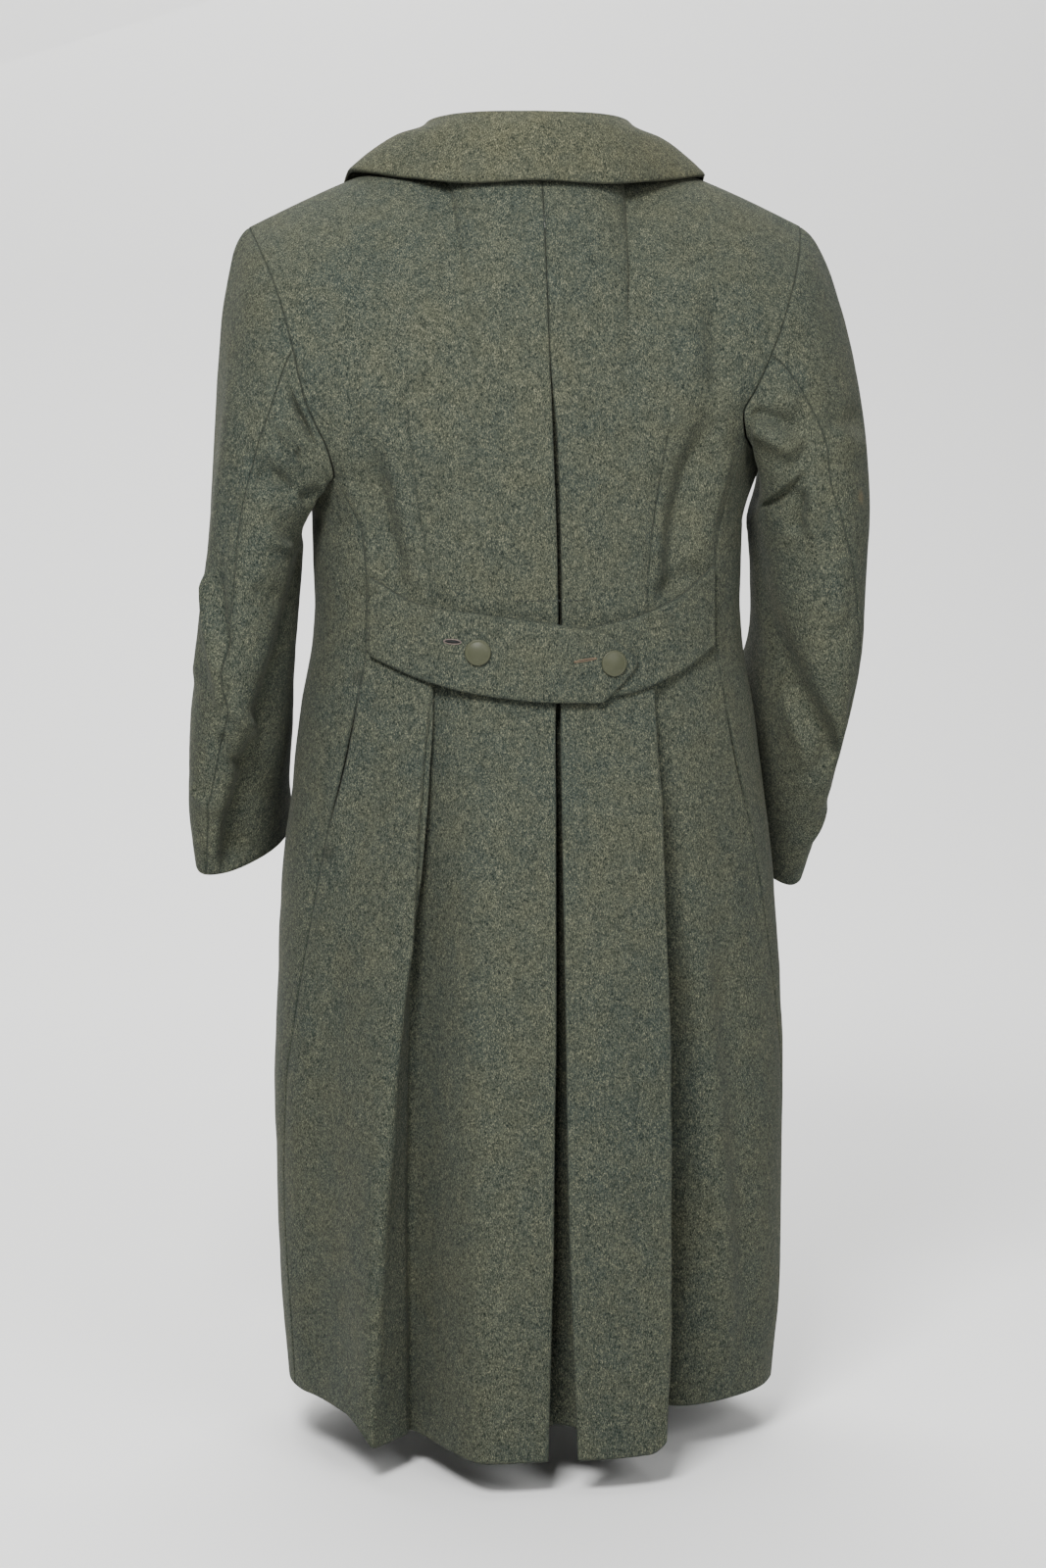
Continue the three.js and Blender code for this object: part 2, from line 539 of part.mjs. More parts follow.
// One piece of a sleeve between two seams, given by turn, as a grid from the cuff up to the armhole
const SLEEVE_STEPS = [1, 0.92, 0.84, 0.76, 0.68, 0.615, 0.55, 0.475, 0.4, 0.32, 0.24, 0.16, 0.09, 0.04, 0];
function sleeveGrid(side, fromTurn, toTurn, columns) {
  const gap = SEAM_GAP / 2;
  return [...SLEEVE_STEPS, -1].map((along) => {
    const row = [];
    if (along < 0) {
      for (let c = -1; c <= columns + 1; c++) row.push(beforeArmhole(side, (mix(fromTurn, toTurn, c / columns) + 360) % 360));
      return row;
    }
    for (let c = -1; c <= columns + 1; c++) {
      const turn = mix(fromTurn, toTurn, c / columns);
      const p = sleevePoint(side, along, (turn + 360) % 360);
      if (c === 0 || c === columns) {
        const next = mix(fromTurn, toTurn, (c + (c ? -1 : 1)) / columns);
        const inward = sleevePoint(side, along, (next + 360) % 360).sub(p).normalize();
        p.addScaledVector(inward, gap);
      }
      row.push(p);
    }
    return row;
  });
}

// The collar's section at a place, from the neck seam up the stand, over the roll and down to the free edge
function collarSection(at) {
  const back = at / COLLAR_AT_SHOULDER, front = (at - COLLAR_AT_SHOULDER) / (1 - COLLAR_AT_SHOULDER);
  const neck = FRONT_NECK[0].share;
  const seam = at <= COLLAR_AT_SHOULDER ? backTop(1, back * NECK_SHARE) : frontTop(1, neck + front * 0.17);
  seam.z += 7 * SEAM_GAP;
  const roll = readPoint(COLLAR, ['rx', 'ry', 'rz'], at, 'at');
  const edge = readPoint(COLLAR, ['ex', 'ey', 'ez'], at, 'at');
  const out = edge.clone().sub(seam).setZ(0).normalize();
  const place = (base, away, up) => base.clone().addScaledVector(out, away).add(point(0, 0, up));
  const fallTop = place(roll, 7, -3);
  return [
    seam, seam.clone().lerp(roll, 0.5), place(roll, 0, -7), place(roll, 0.6, -1.5), place(roll, 3.6, 0), fallTop,
    place(fallTop.clone().lerp(edge, 0.33), 3, 4), place(fallTop.clone().lerp(edge, 0.7), 2, 3), edge,
  ];
}

function collarGrid() {
  const places = [1, 0.92, 0.82, 0.7, 0.58, 0.46, 0.36, 0.27, 0.18, 0.09, 0];
  const sections = [
    ...places.map((at) => collarSection(at).map((p) => point(-p.x, p.y, p.z))),
    ...places.slice(0, -1).reverse().map(collarSection),
  ];
  return sections[0].map((_, i) => sections.map((section) => section[i]));
}

// The cloth behind the open centre fold of the back
function underlayGrid() {
  const grid = [];
  for (const z of [HEM_Z + 18, ...LEVELS.slice(1), -260, -205, SLIT_TOP_Z + 4]) {
    const lift = read(CENTRE_FOLD, 'lift', z), middle = read(CENTRE_FOLD, 'x', z);
    const wide = mix(24, 52, ease(SLIT_TOP_Z, -600, z));
    grid.push([-1, -0.6, -0.25, 0, 0.25, 0.6, 1].map((t) => {
      const x = middle + t * wide;
      return sway(point(x, backDepth(x, z) + lift - CLOTH - LAY_GAP - 0.3, z));
    }));
  }
  return grid;
}

// Depth of the smooth back at a place near the middle, above and below the armpit, without pleats
function backDepth(x, z) {
  if (z <= ARMPIT_Z) return ringDepth(x, z, 1);
  const t = (z - ARMPIT_Z) / -ARMPIT_Z;
  return mix(NECK_BACK, ringDepth(x, ARMPIT_Z, 1), (1 - t ** 1.6) ** (1 / 1.6));
}

// A strap of the half belt, laid over the back at a height above it
function strapGrid(table, from, to, columns, rise, tip) {
  const grid = [];
  const places = [...Array(columns + 1).keys()].map((i) => mix(from, to, i / columns));
  for (const share of [0, 0.34, 0.67, 1]) {
    grid.push(places.map((x, i) => {
      let z = mix(read(table, 'low', x, 'x'), read(table, 'top', x, 'x'), share);
      let px = x;
      if (tip && i === columns) {
        px = mix(x, tip.x, 1 - Math.abs(2 * share - 1));
        z = mix(tip.z, z, Math.abs(2 * share - 1));
      }
      return point(px, beltDepth(px, z) + rise(px), z);
    }));
  }
  return grid;
}

const beltDepth = (x, z) => ringDepth(x, Math.max(z, -445), 1) + 3 + LAY_GAP + BELT_CLOTH;

// A domed button with a rounded rim, standing on z = 0
function buttonGeometry() {
  const r = BUTTON_DIAMETER / 2;
  const profile = [[r - 1.6, 0], [r - 0.3, 0.9], [r, 1.7], [r - 0.5, 2.6], [r - 1.8, 2.8], [r - 4.5, BUTTON_THICK - 0.5]];
  const around = 20;
  const points = profile.flatMap(([radius, z]) => [...Array(around).keys()].map((i) => {
    const a = (2 * Math.PI * i) / around;
    return point(radius * Math.cos(a), radius * Math.sin(a), z);
  }));
  const low = points.push(point(0, 0, 0)) - 1, high = points.push(point(0, 0, BUTTON_THICK)) - 1;
  const faces = [];
  for (let i = 0; i < around; i++) {
    const j = (i + 1) % around;
    faces.push(low, j, i);
    for (let k = 0; k < profile.length - 1; k++) {
      const a = k * around, b = a + around;
      faces.push(a + i, a + j, b + j, a + i, b + j, b + i);
    }
    const rim = (profile.length - 1) * around;
    faces.push(rim + i, rim + j, high);
  }
  return solid(points, faces);
}

const wool = new THREE.MeshStandardMaterial({ color: 0x59604f, roughness: 0.95, metalness: 0 });
const paint = new THREE.MeshStandardMaterial({ color: 0x6d6c58, roughness: 0.45, metalness: 0.6 });

const coat = new THREE.Group();
function add(name, geometry, material = wool) {
  const mesh = new THREE.Mesh(geometry, material);
  mesh.name = name;
  coat.add(mesh);
  return mesh;
}

// Lays a button on what carries it, at x and z, seen from the back (1) or the front (-1)
function addButton(name, carrier, x, z, way) {
  const ray = new THREE.Raycaster();
  const skin = new THREE.Mesh(carrier.geometry, new THREE.MeshBasicMaterial({ side: THREE.DoubleSide }));
  const hit = (px, pz) => {
    ray.set(point(px, way * 1000, pz), point(0, -way, 0));
    return ray.intersectObject(skin)[0].point;
  };
  const reach = 7, foot = BUTTON_DIAMETER / 2 - 1.6;
  const across = hit(x + reach, z).sub(hit(x - reach, z)), up = hit(x, z + reach).sub(hit(x, z - reach));
  const facing = across.cross(up).normalize();
  facing.multiplyScalar(Math.sign(facing.y * way));
  const middle = hit(x, z);
  let rise = 0;
  for (let i = 0; i < 24; i++) {
    const a = (Math.PI * i) / 12;
    rise = Math.max(rise, hit(x + foot * Math.cos(a), z + foot * Math.sin(a)).sub(middle).dot(facing));
  }
  const mesh = add(name, buttonGeometry(), paint);
  mesh.position.copy(middle).addScaledVector(facing, rise + BUTTON_GAP);
  mesh.quaternion.setFromUnitVectors(point(0, 0, 1), facing);
}

for (const [side, name] of [[1, 'left'], [-1, 'right']]) {
  const flip = side > 0;
  add(`back_${name}`, wall(toSide(side, backGrid(side)), CLOTH, { flip, border: { right: 1, top: 1 } }));
  add(`front_${name}`, wall(toSide(side, frontGrid(side)), CLOTH, { flip, border: { left: 1, top: 1 } }));
  const border = { left: 1, right: 1, top: 1 };
  const top = toSide(side, sleeveGrid(side, 90, -90, 12)), under = toSide(side, sleeveGrid(side, 270, 90, 12));
  add(`top_sleeve_${name}`, wall(top, CLOTH, { flip, border }));
  add(`under_sleeve_${name}`, wall(under, CLOTH, { flip, border }));
}
add('back_pleat_underlay', wall(underlayGrid(), CLOTH, { flip: true }));
add('collar', wall(collarGrid(), CLOTH));

const raised = (x) => (BELT_CLOTH + 1.5 * LAY_GAP) * (1 - ease(86, 124, x));
add('half_belt_right', wall(strapGrid(RIGHT_STRAP, 84, -150, 12, () => 0), BELT_CLOTH));
const leftStrap = add('half_belt_left', wall(strapGrid(LEFT_STRAP, 150, -44, 12, raised, STRAP_TIP), BELT_CLOTH));
for (const { name, x, z } of BELT_BUTTONS) addButton(name, leftStrap, x, z, 1);

const leftFront = coat.getObjectByName('front_left');
for (let i = 0; i < BUTTON_ROWS.count; i++) {
  const z = BUTTON_ROWS.topZ - i * BUTTON_ROWS.stepZ;
  addButton(`front_button_left_${i + 1}`, leftFront, BUTTON_ROWS.x, z, -1);
  addButton(`front_button_right_${i + 1}`, leftFront, -BUTTON_ROWS.x, z, -1);
}

export default coat;
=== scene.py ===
import math
import bpy
import numpy as np
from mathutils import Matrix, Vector


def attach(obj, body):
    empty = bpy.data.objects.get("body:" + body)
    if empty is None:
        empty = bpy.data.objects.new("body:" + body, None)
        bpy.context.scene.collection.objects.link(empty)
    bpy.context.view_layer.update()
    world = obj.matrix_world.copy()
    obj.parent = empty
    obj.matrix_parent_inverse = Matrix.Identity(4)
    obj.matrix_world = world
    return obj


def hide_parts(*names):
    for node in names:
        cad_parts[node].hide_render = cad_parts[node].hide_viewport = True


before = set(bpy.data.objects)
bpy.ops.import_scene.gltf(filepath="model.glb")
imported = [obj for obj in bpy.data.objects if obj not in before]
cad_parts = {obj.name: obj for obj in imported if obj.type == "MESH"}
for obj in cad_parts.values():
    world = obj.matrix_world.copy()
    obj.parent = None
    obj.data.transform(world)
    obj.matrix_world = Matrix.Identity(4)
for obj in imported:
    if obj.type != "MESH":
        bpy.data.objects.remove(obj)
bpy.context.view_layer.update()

# Camera, in metres and degrees, at the waist's height and a little to the wearer's left of straight behind
view = dict(azimuth=172.0, elevation=6.0, distance=2.9, target=(0.0045, 0.0, -0.540), lens=75.1, film=36)


def intoScene(name, data):
    thing = bpy.data.objects.new(name, data)
    bpy.context.scene.collection.objects.link(thing)
    return thing


def placeCamera():
    around, up = math.radians(view["azimuth"]), math.radians(view["elevation"])
    away = Vector((math.sin(around) * math.cos(up), -math.cos(around) * math.cos(up), math.sin(up)))
    camera = intoScene("camera", bpy.data.cameras.new("camera"))
    camera.data.lens, camera.data.sensor_width = view["lens"], view["film"]
    camera.location = Vector(view["target"]) + away * view["distance"]
    camera.rotation_euler = (-away).to_track_quat("-Z", "Y").to_euler()
    bpy.context.scene.camera = camera


placeCamera()
print("camera placed")


# A table's columns by their names, from its rows
def table(names, *rows):
    return {name: np.array(column, float) for name, column in zip(names.split(), zip(*rows))}


# The coat's form in millimetres: +Z up, +Y to its back, +X to the wearer's left, origin in the neck opening
form = dict(
    cloth=2.6, beltCloth=3.4, seamGap=0.3, layGap=0.8, armpit=-310.0, hem=-1093.0,
    hemRise={1: 22.0, -1: 13.0}, hemRiseTop=-700.0, slitTop=-160.0, ringPower=2.25, chestPower=2.5)
armpit, hem = form["armpit"], form["hem"]

# Level rings of the body: half width, depth behind and in front
rings = table("z half back front",
    (-310, 189, 128, 130), (-372, 187, 130, 124), (-409, 190, 131, 126), (-465, 200, 132, 132),
    (-540, 210, 133, 142), (-630, 219, 134, 154), (-800, 227, 134, 168), (-985, 226, 130, 180),
    (hem, 218, 124, 184))
sway = table("z x", (-500, 0), (-800, -2), (hem, -3.5))
sideSeam = table("z x",
    (-310, 155), (-355, 151), (-412, 152), (-450, 158.5), (-516, 172), (-570, 185), (-634, 197), (-738, 214),
    (-800, 221), (-900, 223.5), (hem, 215.5))

# The pocket opens in the side seam, between these heights
pocket = dict(top=-449.0, low=-572.0, gape=2.4, fullness=0.7)

# The open fold down the middle of the back, and the pleat at each side of the skirt's middle
centreFold = table("z x gape lift",
    (0, 0, 0.1, 0), (-160, -2, 0.2, 0), (-250, -6, 3.6, 0), (-385, -9, 3, 0), (-455, -7, 4, 3),
    (-560, -4, 5, 22), (-730, -1, 8, 46), (-900, 2, 13, 64), (hem, 2.5, 25, 80))
pleats = {
    -1: table("z ridge valley ridgeLift valleyLift",
        (-310, 90, 96, 0, 0), (-385, 91, 96, 0, 0), (-455, 92, 90, 3, -3), (-560, 95, 88, 22, -5),
        (-730, 98, 88, 44, -6), (-900, 97, 85, 62, -8), (hem, 90, 78, 78, -8)),
    1: table("z ridge valley ridgeLift valleyLift",
        (-310, 98, 92, 0, 0), (-385, 98, 92, 0, 0), (-455, 98, 101, 3, -4), (-560, 105, 112, 16, -3),
        (-640, 115, 117, 22, -2), (-730, 130, 121, 30, 0), (-900, 148, 124, 44, 2), (hem, 160, 124, 62, 4)),
}

# Neck, shoulder seam and armholes, these by turn: 0 at the shoulder, 90 at the back, 180 under the arm
neck = dict(back=70.0, side=(78.0, 2.0, 16.0), arch=4.0, share=0.36)
seamTurn = 150.0
armholes = {
    1: table("turn x y z",
        (0, 243, 2, -54), (25, 236, 40, -76), (50, 224, 72, -112), (75, 213, 88, -156), (100, 202, 93, -205),
        (125, 184, 90, -244), (150, 177, 78, -268), (166, 190, 46, -274), (184, 207, 8, -268),
        (210, 211, -34, -248), (238, 205, -66, -212), (265, 202, -78, -172), (295, 208, -72, -128),
        (328, 225, -42, -84), (360, 243, 2, -54)),
    -1: table("turn x y z",
        (0, 242, 2, -49), (25, 233, 40, -75), (50, 219, 72, -112), (75, 204, 88, -150), (100, 186, 93, -190),
        (125, 174, 90, -214), (150, 178, 78, -232), (166, 192, 46, -244), (184, 210, 8, -252),
        (210, 213, -34, -240), (238, 206, -66, -208), (265, 202, -78, -170), (295, 208, -72, -126),
        (328, 225, -42, -80), (360, 242, 2, -49)),
}
corner = 0.56
frontNeck = table("share x y z",
    (0.74, 78, 2, 16), (0.8, 64, -44, -18), (0.87, 34, -78, -60), (0.93, -8, -90, -80), (1.0, -80, -86, -82))
neckByWidth = table("x y z", (0, -92, -82), (34, -78, -60), (64, -44, -18), (78, 2, 16), (130, 2, 0))
frontEdge = table("z x", (-310, 84), (-400, 86), (hem, 82))
underlap = dict(start=122.0, full=96.0, depth=5.8)

# Sleeves below the armpit: the middle, half width, depth, tilt and turn of each ring, and how a sleeve starts
sleeves = {
    1: table("at x y z half deep tilt turn",
        (0.4, 240, 4, -330, 41, 82, 4, 8), (0.55, 247, 2, -410, 41, 80, 7, 15),
        (0.68, 252, -8, -470, 40, 79, 10, 22), (0.84, 253.5, -26, -535, 33.5, 75, 13, 29),
        (1.0, 249, -47, -597, 27, 75, 15, 32)),
    -1: table("at x y z half deep tilt turn",
        (0.4, 250, 8, -318, 51, 83, 2, 3), (0.55, 250.5, 0, -395, 43.5, 82, 9, 10),
        (0.68, 245, -18, -458, 37.5, 81, 18, 15), (0.84, 236, -64, -536, 31.5, 76, 26, 16),
        (1.0, 232, -112, -604, 26, 72, 28, 14)),
}
sleeveStart = table("turn x y z draw",
    (0, 90, 0, -38, 300), (90, 60, 4, -50, 150), (180, 16, 0, -30, 60), (270, 66, -8, -30, 150),
    (360, 90, 0, -38, 300))
bodyEnd = table("turn x y z",
    (0, 1, 0, -0.35), (90, 0.95, -0.3, -0.05), (130, 0.9, -0.35, 0.25), (180, 0.5, 0, 0.87),
    (230, 0.7, 0, 0.7), (290, 0.95, 0.2, 0.1), (360, 1, 0, -0.35))

# The collar from the back to its front point: the roll and the free edge
collarShoulder = 0.44
collarRows = table("at rx ry rz ex ey ez",
    (0.0, 0, 66, 41, 0, 94, -18), (0.14, 36, 60, 41, 58, 86, -20), (0.28, 68, 40, 40, 112, 53, -14),
    (0.44, 85, 2, 36, 157, 4, -5), (0.6, 82, -38, 16, 160, -52, -28), (0.8, 54, -82, -26, 132, -112, -92),
    (1.0, 8, -108, -58, 74, -142, -150))

# The half belt: upper and lower edge
leftStrap = table("x top low",
    (150, -352, -419), (110, -374, -437), (60, -382, -450), (0, -390, -457), (-44, -397, -458))
rightStrap = table("x top low",
    (-150, -344, -413), (-110, -372, -436), (-60, -389, -452), (0, -397, -455), (84, -395, -442))
strapTip = dict(x=-76.0, z=-424.0)


# A smooth curve from a to b, t of the way along, with the ways it leaves a and arrives at b
def curve(a, b, leave, arrive, t):
    left = 1 - t
    return ((1 + 2 * t) * left ** 2 * a + t * left ** 2 * leave
            + t * t * (3 - 2 * t) * b - t * t * left * arrive)


# A value between the rows of a table, as a smooth curve that doesn't overshoot
def read(rows, key, place, along="z"):
    at, value = rows[along], rows[key]
    if at[0] > at[-1]:
        at, value = at[::-1], value[::-1]
    step = np.diff(at)
    slope = np.diff(value) / step
    before, after = slope[:-1], slope[1:]
    total = np.where(before * after > 0, before + after, 1.0)
    inner = np.where(before * after > 0, 2 * before * after / total, 0.0)
    tangent = np.concatenate([slope[:1], inner, slope[-1:]])
    place = np.clip(np.asarray(place, float), at[0], at[-1])
    i = np.clip(np.searchsorted(at, place, side="right") - 1, 0, len(step) - 1)
    t, step = (place - at[i]) / step[i], step[i]
    return curve(value[i], value[i + 1], step * tangent[i], step * tangent[i + 1], t)


def readPoint(rows, place, along, keys="x y z"):
    return np.stack([read(rows, key, place, along) for key in keys.split()], -1)


def mix(a, b, t):
    return a + (b - a) * t


def ease(a, b, v):
    t = np.clip((v - a) / (b - a), 0, 1)
    return t * t * (3 - 2 * t)


def unit(v):
    return v / np.maximum(np.linalg.norm(v, axis=-1, keepdims=True), 1e-9)


# How far a rounded section still stands out, t of the way from its middle to its end
def roundOff(t, power):
    return (1 - t ** power) ** (1 / power)


def ringDepth(x, z, way):
    share = np.minimum(np.abs(x) / read(rings, "half", z), 1)
    return way * read(rings, "back" if way > 0 else "front", z) * roundOff(share, form["ringPower"])


def ringTurn(x, z):
    share = np.clip(x / read(rings, "half", z), -1, 1)
    return np.arccos(np.sign(share) * np.abs(share) ** (form["ringPower"] / 2))


def seamGap(z):
    t = np.clip((z - pocket["low"]) / (pocket["top"] - pocket["low"]), 0, 1)
    return form["seamGap"] + pocket["gape"] * np.sin(np.pi * t) ** pocket["fullness"]


def hemLift(side, z):
    return form["hemRise"][side] * ease(form["hemRiseTop"], hem, z)


def centreEdge(side, z):
    return side * read(centreFold, "x", z) + read(centreFold, "gape", z) / 2


def armhole(side, turn):
    return readPoint(armholes[side], turn, "turn")


def shoulder(side, t):
    t = np.asarray(t, float)[..., None]
    rise = np.array([0, 0, neck["arch"]]) * np.sin(np.pi * t)
    return mix(np.array(neck["side"]), armhole(side, 0.0), t) + rise


# The top of the back, from the middle of the neck (0) to the shoulder point (1)
def backTop(side, share):
    share = np.asarray(share, float)
    turn = np.clip(share / neck["share"], 0, 1) * np.pi / 2
    x, y, z = neck["side"]
    atNeck = np.stack([x * np.sin(turn), mix(y, neck["back"], np.cos(turn)), z * np.sin(turn) ** 2], -1)
    beyond = shoulder(side, np.clip((share - neck["share"]) / (1 - neck["share"]), 0, 1))
    return np.where((share >= neck["share"])[..., None], beyond, atNeck)


def chestDepth(x, z):
    away = np.abs(x)
    topY, topZ = read(neckByWidth, "y", away, "x"), read(neckByWidth, "z", away, "x")
    t = np.clip((z - armpit) / (topZ - armpit), 0, 1)
    return mix(topY, ringDepth(away, armpit, -1), 1 - t ** form["chestPower"])


def withUnderlap(side, x, y):
    if side > 0:
        return y
    deeper = underlap["depth"] * (1 - ease(underlap["full"], underlap["start"], x))
    return np.where(y < 0, y + deeper, y)


def frontTop(side, share):
    share = np.asarray(share, float)
    end = frontNeck["share"][0]
    atArmhole = armhole(side, mix(seamTurn, 360, np.clip(share / corner, 0, 1)))
    atShoulder = shoulder(side, 1 - np.clip((share - corner) / (end - corner), 0, 1))
    atNeck = readPoint(frontNeck, share, "share")
    atNeck[..., 1] = withUnderlap(side, atNeck[..., 0], chestDepth(atNeck[..., 0], atNeck[..., 2]))
    low, high = (share <= corner)[..., None], (share > end)[..., None]
    return np.where(low, atArmhole, np.where(high, atNeck, atShoulder))


# A measure of unevenness: smooth random heights about `size` mm apart, between -1 and 1
def unevenness(u, v, size, seed):
    grid = np.random.default_rng(seed).uniform(-1, 1, (64, 64))
    a, b = u / size, v / size
    i, j = np.floor(a).astype(int), np.floor(b).astype(int)
    s, t = a - i, b - j
    s, t = s * s * (3 - 2 * s), t * t * (3 - 2 * t)
    pick = lambda di, dj: grid[(i + di) % 64, (j + dj) % 64]
    return mix(mix(pick(0, 0), pick(1, 0), s), mix(pick(0, 1), pick(1, 1), s), t)


# Rows of a shape from which its skin is drawn, spaced evenly between the places given
def places(*stops):
    parts = [np.linspace(a, b, n, endpoint=False) for (a, n), (b, _) in zip(stops, stops[1:])]
    return np.concatenate(parts + [[stops[-1][0]]])


# How many rows and columns of points each skin has
detail = dict(
    lowRows=190, highRows=84, centre=58, pleat=14, side=48, frontColumns=92, frontLow=130, frontHigh=56,
    sleeveRows=200, sleeveColumns=76, collarColumns=240, collarRows=54, underlayRows=150, underlayColumns=30,
    strapColumns=150, strapRows=42)


# Rounds the folds of a grid off along its rows, a few columns each way, without moving its edges
def rounded(grid, reach):
    offsets = np.arange(-int(3 * reach), int(3 * reach) + 1)
    weights = np.exp(-0.5 * (offsets / reach) ** 2)
    weights /= weights.sum()
    last = grid.shape[1] - 1
    out = np.zeros_like(grid)
    for offset, weight in zip(offsets, weights):
        i = np.arange(last + 1) + offset
        mirrored = np.abs(i)
        mirrored = np.where(mirrored > last, 2 * last - mirrored, mirrored)
        taken = grid[:, mirrored]
        end = np.where(i < 0, 0, last)
        taken = np.where(((i < 0) | (i > last))[None, :, None], 2 * grid[:, end] - taken, taken)
        out += weight * taken
    return out


# The skirt of the back: where its lift starts to fall to a pleat, how it swells and fades, and how soft its
# edges are
skirt = dict(fallFrom=0.5, swell=0.06, fadeEnd={1: 0.8, -1: 0.5}, hemRiseOver=(-4, 20), soften=1.3)


# A level row of the back for each height, from the centre fold to the side seam
def backRows(side, z):
    z = z[:, None]
    edge, seam = centreEdge(side, z), read(sideSeam, "x", z) - seamGap(z) / 2
    ridge, ridgeLift, valley, valleyLift = (
        read(pleats[side], key, z) for key in ("ridge", "ridgeLift", "valley", "valleyLift"))
    inner, innerLift, outer, outerLift = (
        (valley, valleyLift, ridge, ridgeLift) if side > 0 else (ridge, ridgeLift, valley, valleyLift))
    t = np.linspace(0, 1, detail["centre"])[None, :-1]
    fall = ease(skirt["fallFrom"], 1, t) if side > 0 else t
    lift = read(centreFold, "lift", z) * (1 + skirt["swell"] * np.sin(np.pi * t))
    xs, lifts = [mix(edge, inner, t)], [mix(lift, innerLift, fall)]
    t = np.linspace(0, 1, detail["pleat"])[None, :-1]
    xs.append(mix(inner, outer, t))
    lifts.append(mix(innerLift, outerLift, t))
    t = np.linspace(0, 1, detail["side"])[None, :]
    xs.append(mix(outer, seam, t))
    lifts.append(outerLift * (1 - ease(0, skirt["fadeEnd"][side], t)))
    x, lift = np.concatenate(xs, 1), np.concatenate(lifts, 1)
    before, beyond = skirt["hemRiseOver"]
    rise = hemLift(side, z) * ease(outer + before, outer + beyond, x)
    return rounded(np.stack([x, ringDepth(x, z, 1) + lift, z + rise], -1), skirt["soften"])


# The upper back: its roundness in the middle and at the armhole, and how high, as shares of its height,
# its side edge passes each step round the armhole, in degrees
upperBack = dict(
    middlePower=1.6, sidePower=2.4, degrees=15,
    passes=(0.08, 0.16, 0.26, 0.36, 0.47, 0.58, 0.68, 0.78, 0.87, 0.94, 1))


def blend(begin, end, t, power):
    return np.stack([mix(begin[..., 0], end[..., 0], t), mix(end[..., 1], begin[..., 1], roundOff(t, power)),
                     mix(begin[..., 2], end[..., 2], t)], -1)


def backGrid(side):
    lower = backRows(side, places((hem, detail["lowRows"]), (armpit, 0)))
    start = lower[-1][None]
    first, last = start[:, :1, 0], start[:, -1:, 0]
    share = (start[..., 0] - first) / (last - first)
    t = places((0, detail["highRows"]), (1, 0))[1:, None]
    passes, power = upperBack["passes"], upperBack["sidePower"]
    turn = np.interp(t, passes, seamTurn - upperBack["degrees"] * np.arange(len(passes)))
    sideTop, firstPass = backTop(side, np.ones((1, 1))), passes[0]
    tip = blend(start[:, -1:], sideTop, t, power)
    firstTip = blend(start[:, -1:], sideTop, np.array([[firstPass]]), power)
    pull = np.where((t > firstPass)[..., None], armhole(side, turn) - tip,
                    (armhole(side, seamTurn) - firstTip) * np.minimum(t / firstPass, 1)[..., None])
    p = blend(start, backTop(side, share), t, mix(upperBack["middlePower"], power, share))
    p = p + pull * (share ** 3)[..., None]
    p[..., 0] += (centreEdge(side, p[:, :1, 2]) - p[:, :1, 0]) * (1 - np.clip(share, 0, 1)) ** 3
    return np.concatenate([lower, p])


# The front, by shares of the way round it: where the hem's rise changes, how round the chest is, where it
# bends over to the shoulder and how strongly, and between which widths it turns flat
frontForm = dict(
    hemChange=(0.3, 0.8), roundFrom=0.3, roundness=2.1, bendStart=(0.12, 0.32), bendEnd=(0.6, 0.76),
    bendOut=1.2, bendUp=0.6, flatBetween=(92, 140))


def frontRows(side, z, share):
    z = z[:, None]
    begin = -ringTurn(read(sideSeam, "x", z) + seamGap(z) / 2, z)
    end = ringTurn(-read(frontEdge, "x", z), z)
    turn = mix(begin, end, share)
    c, s, power = np.cos(turn), np.sin(turn), 2 / form["ringPower"]
    deep = np.where(s < 0, read(rings, "back", z), read(rings, "front", z))
    x = read(rings, "half", z) * np.sign(c) * np.abs(c) ** power
    y = -deep * np.sign(s) * np.abs(s) ** power
    rise = mix(hemLift(side, z), hemLift(1, z) / 2, ease(*frontForm["hemChange"], share))
    return np.stack([x, withUnderlap(side, x, y), z + rise], -1)


def frontGrid(side):
    columns = detail["frontColumns"] // 2
    share = places((0, columns), (corner, columns), (1, 0))[None, :]
    lower = frontRows(side, places((hem, detail["frontLow"]), (armpit, 0)), share)
    start, end = lower[-1][None], frontTop(side, share)
    t = places((0, detail["frontHigh"]), (1, 0))[1:, None]
    power = mix(1, frontForm["roundness"], ease(frontForm["roundFrom"], corner, share))
    bend = ease(*frontForm["bendStart"], share) * (1 - ease(*frontForm["bendEnd"], share))
    out, up = t ** (1 + frontForm["bendOut"] * bend), 1 - (1 - t) ** (1 + frontForm["bendUp"] * bend)
    p = np.stack([mix(start[..., 0], end[..., 0], out), mix(end[..., 1], start[..., 1], roundOff(up, power)),
                  mix(start[..., 2], end[..., 2], up)], -1)
    flat = 1 - ease(*frontForm["flatBetween"], p[..., 0])
    flat = np.where((share > frontNeck["share"][0]) | (t < 1), flat, 0)
    p[..., 1] = mix(p[..., 1], withUnderlap(side, p[..., 0], chestDepth(p[..., 0], p[..., 2])), flat)
    return np.concatenate([lower, p])


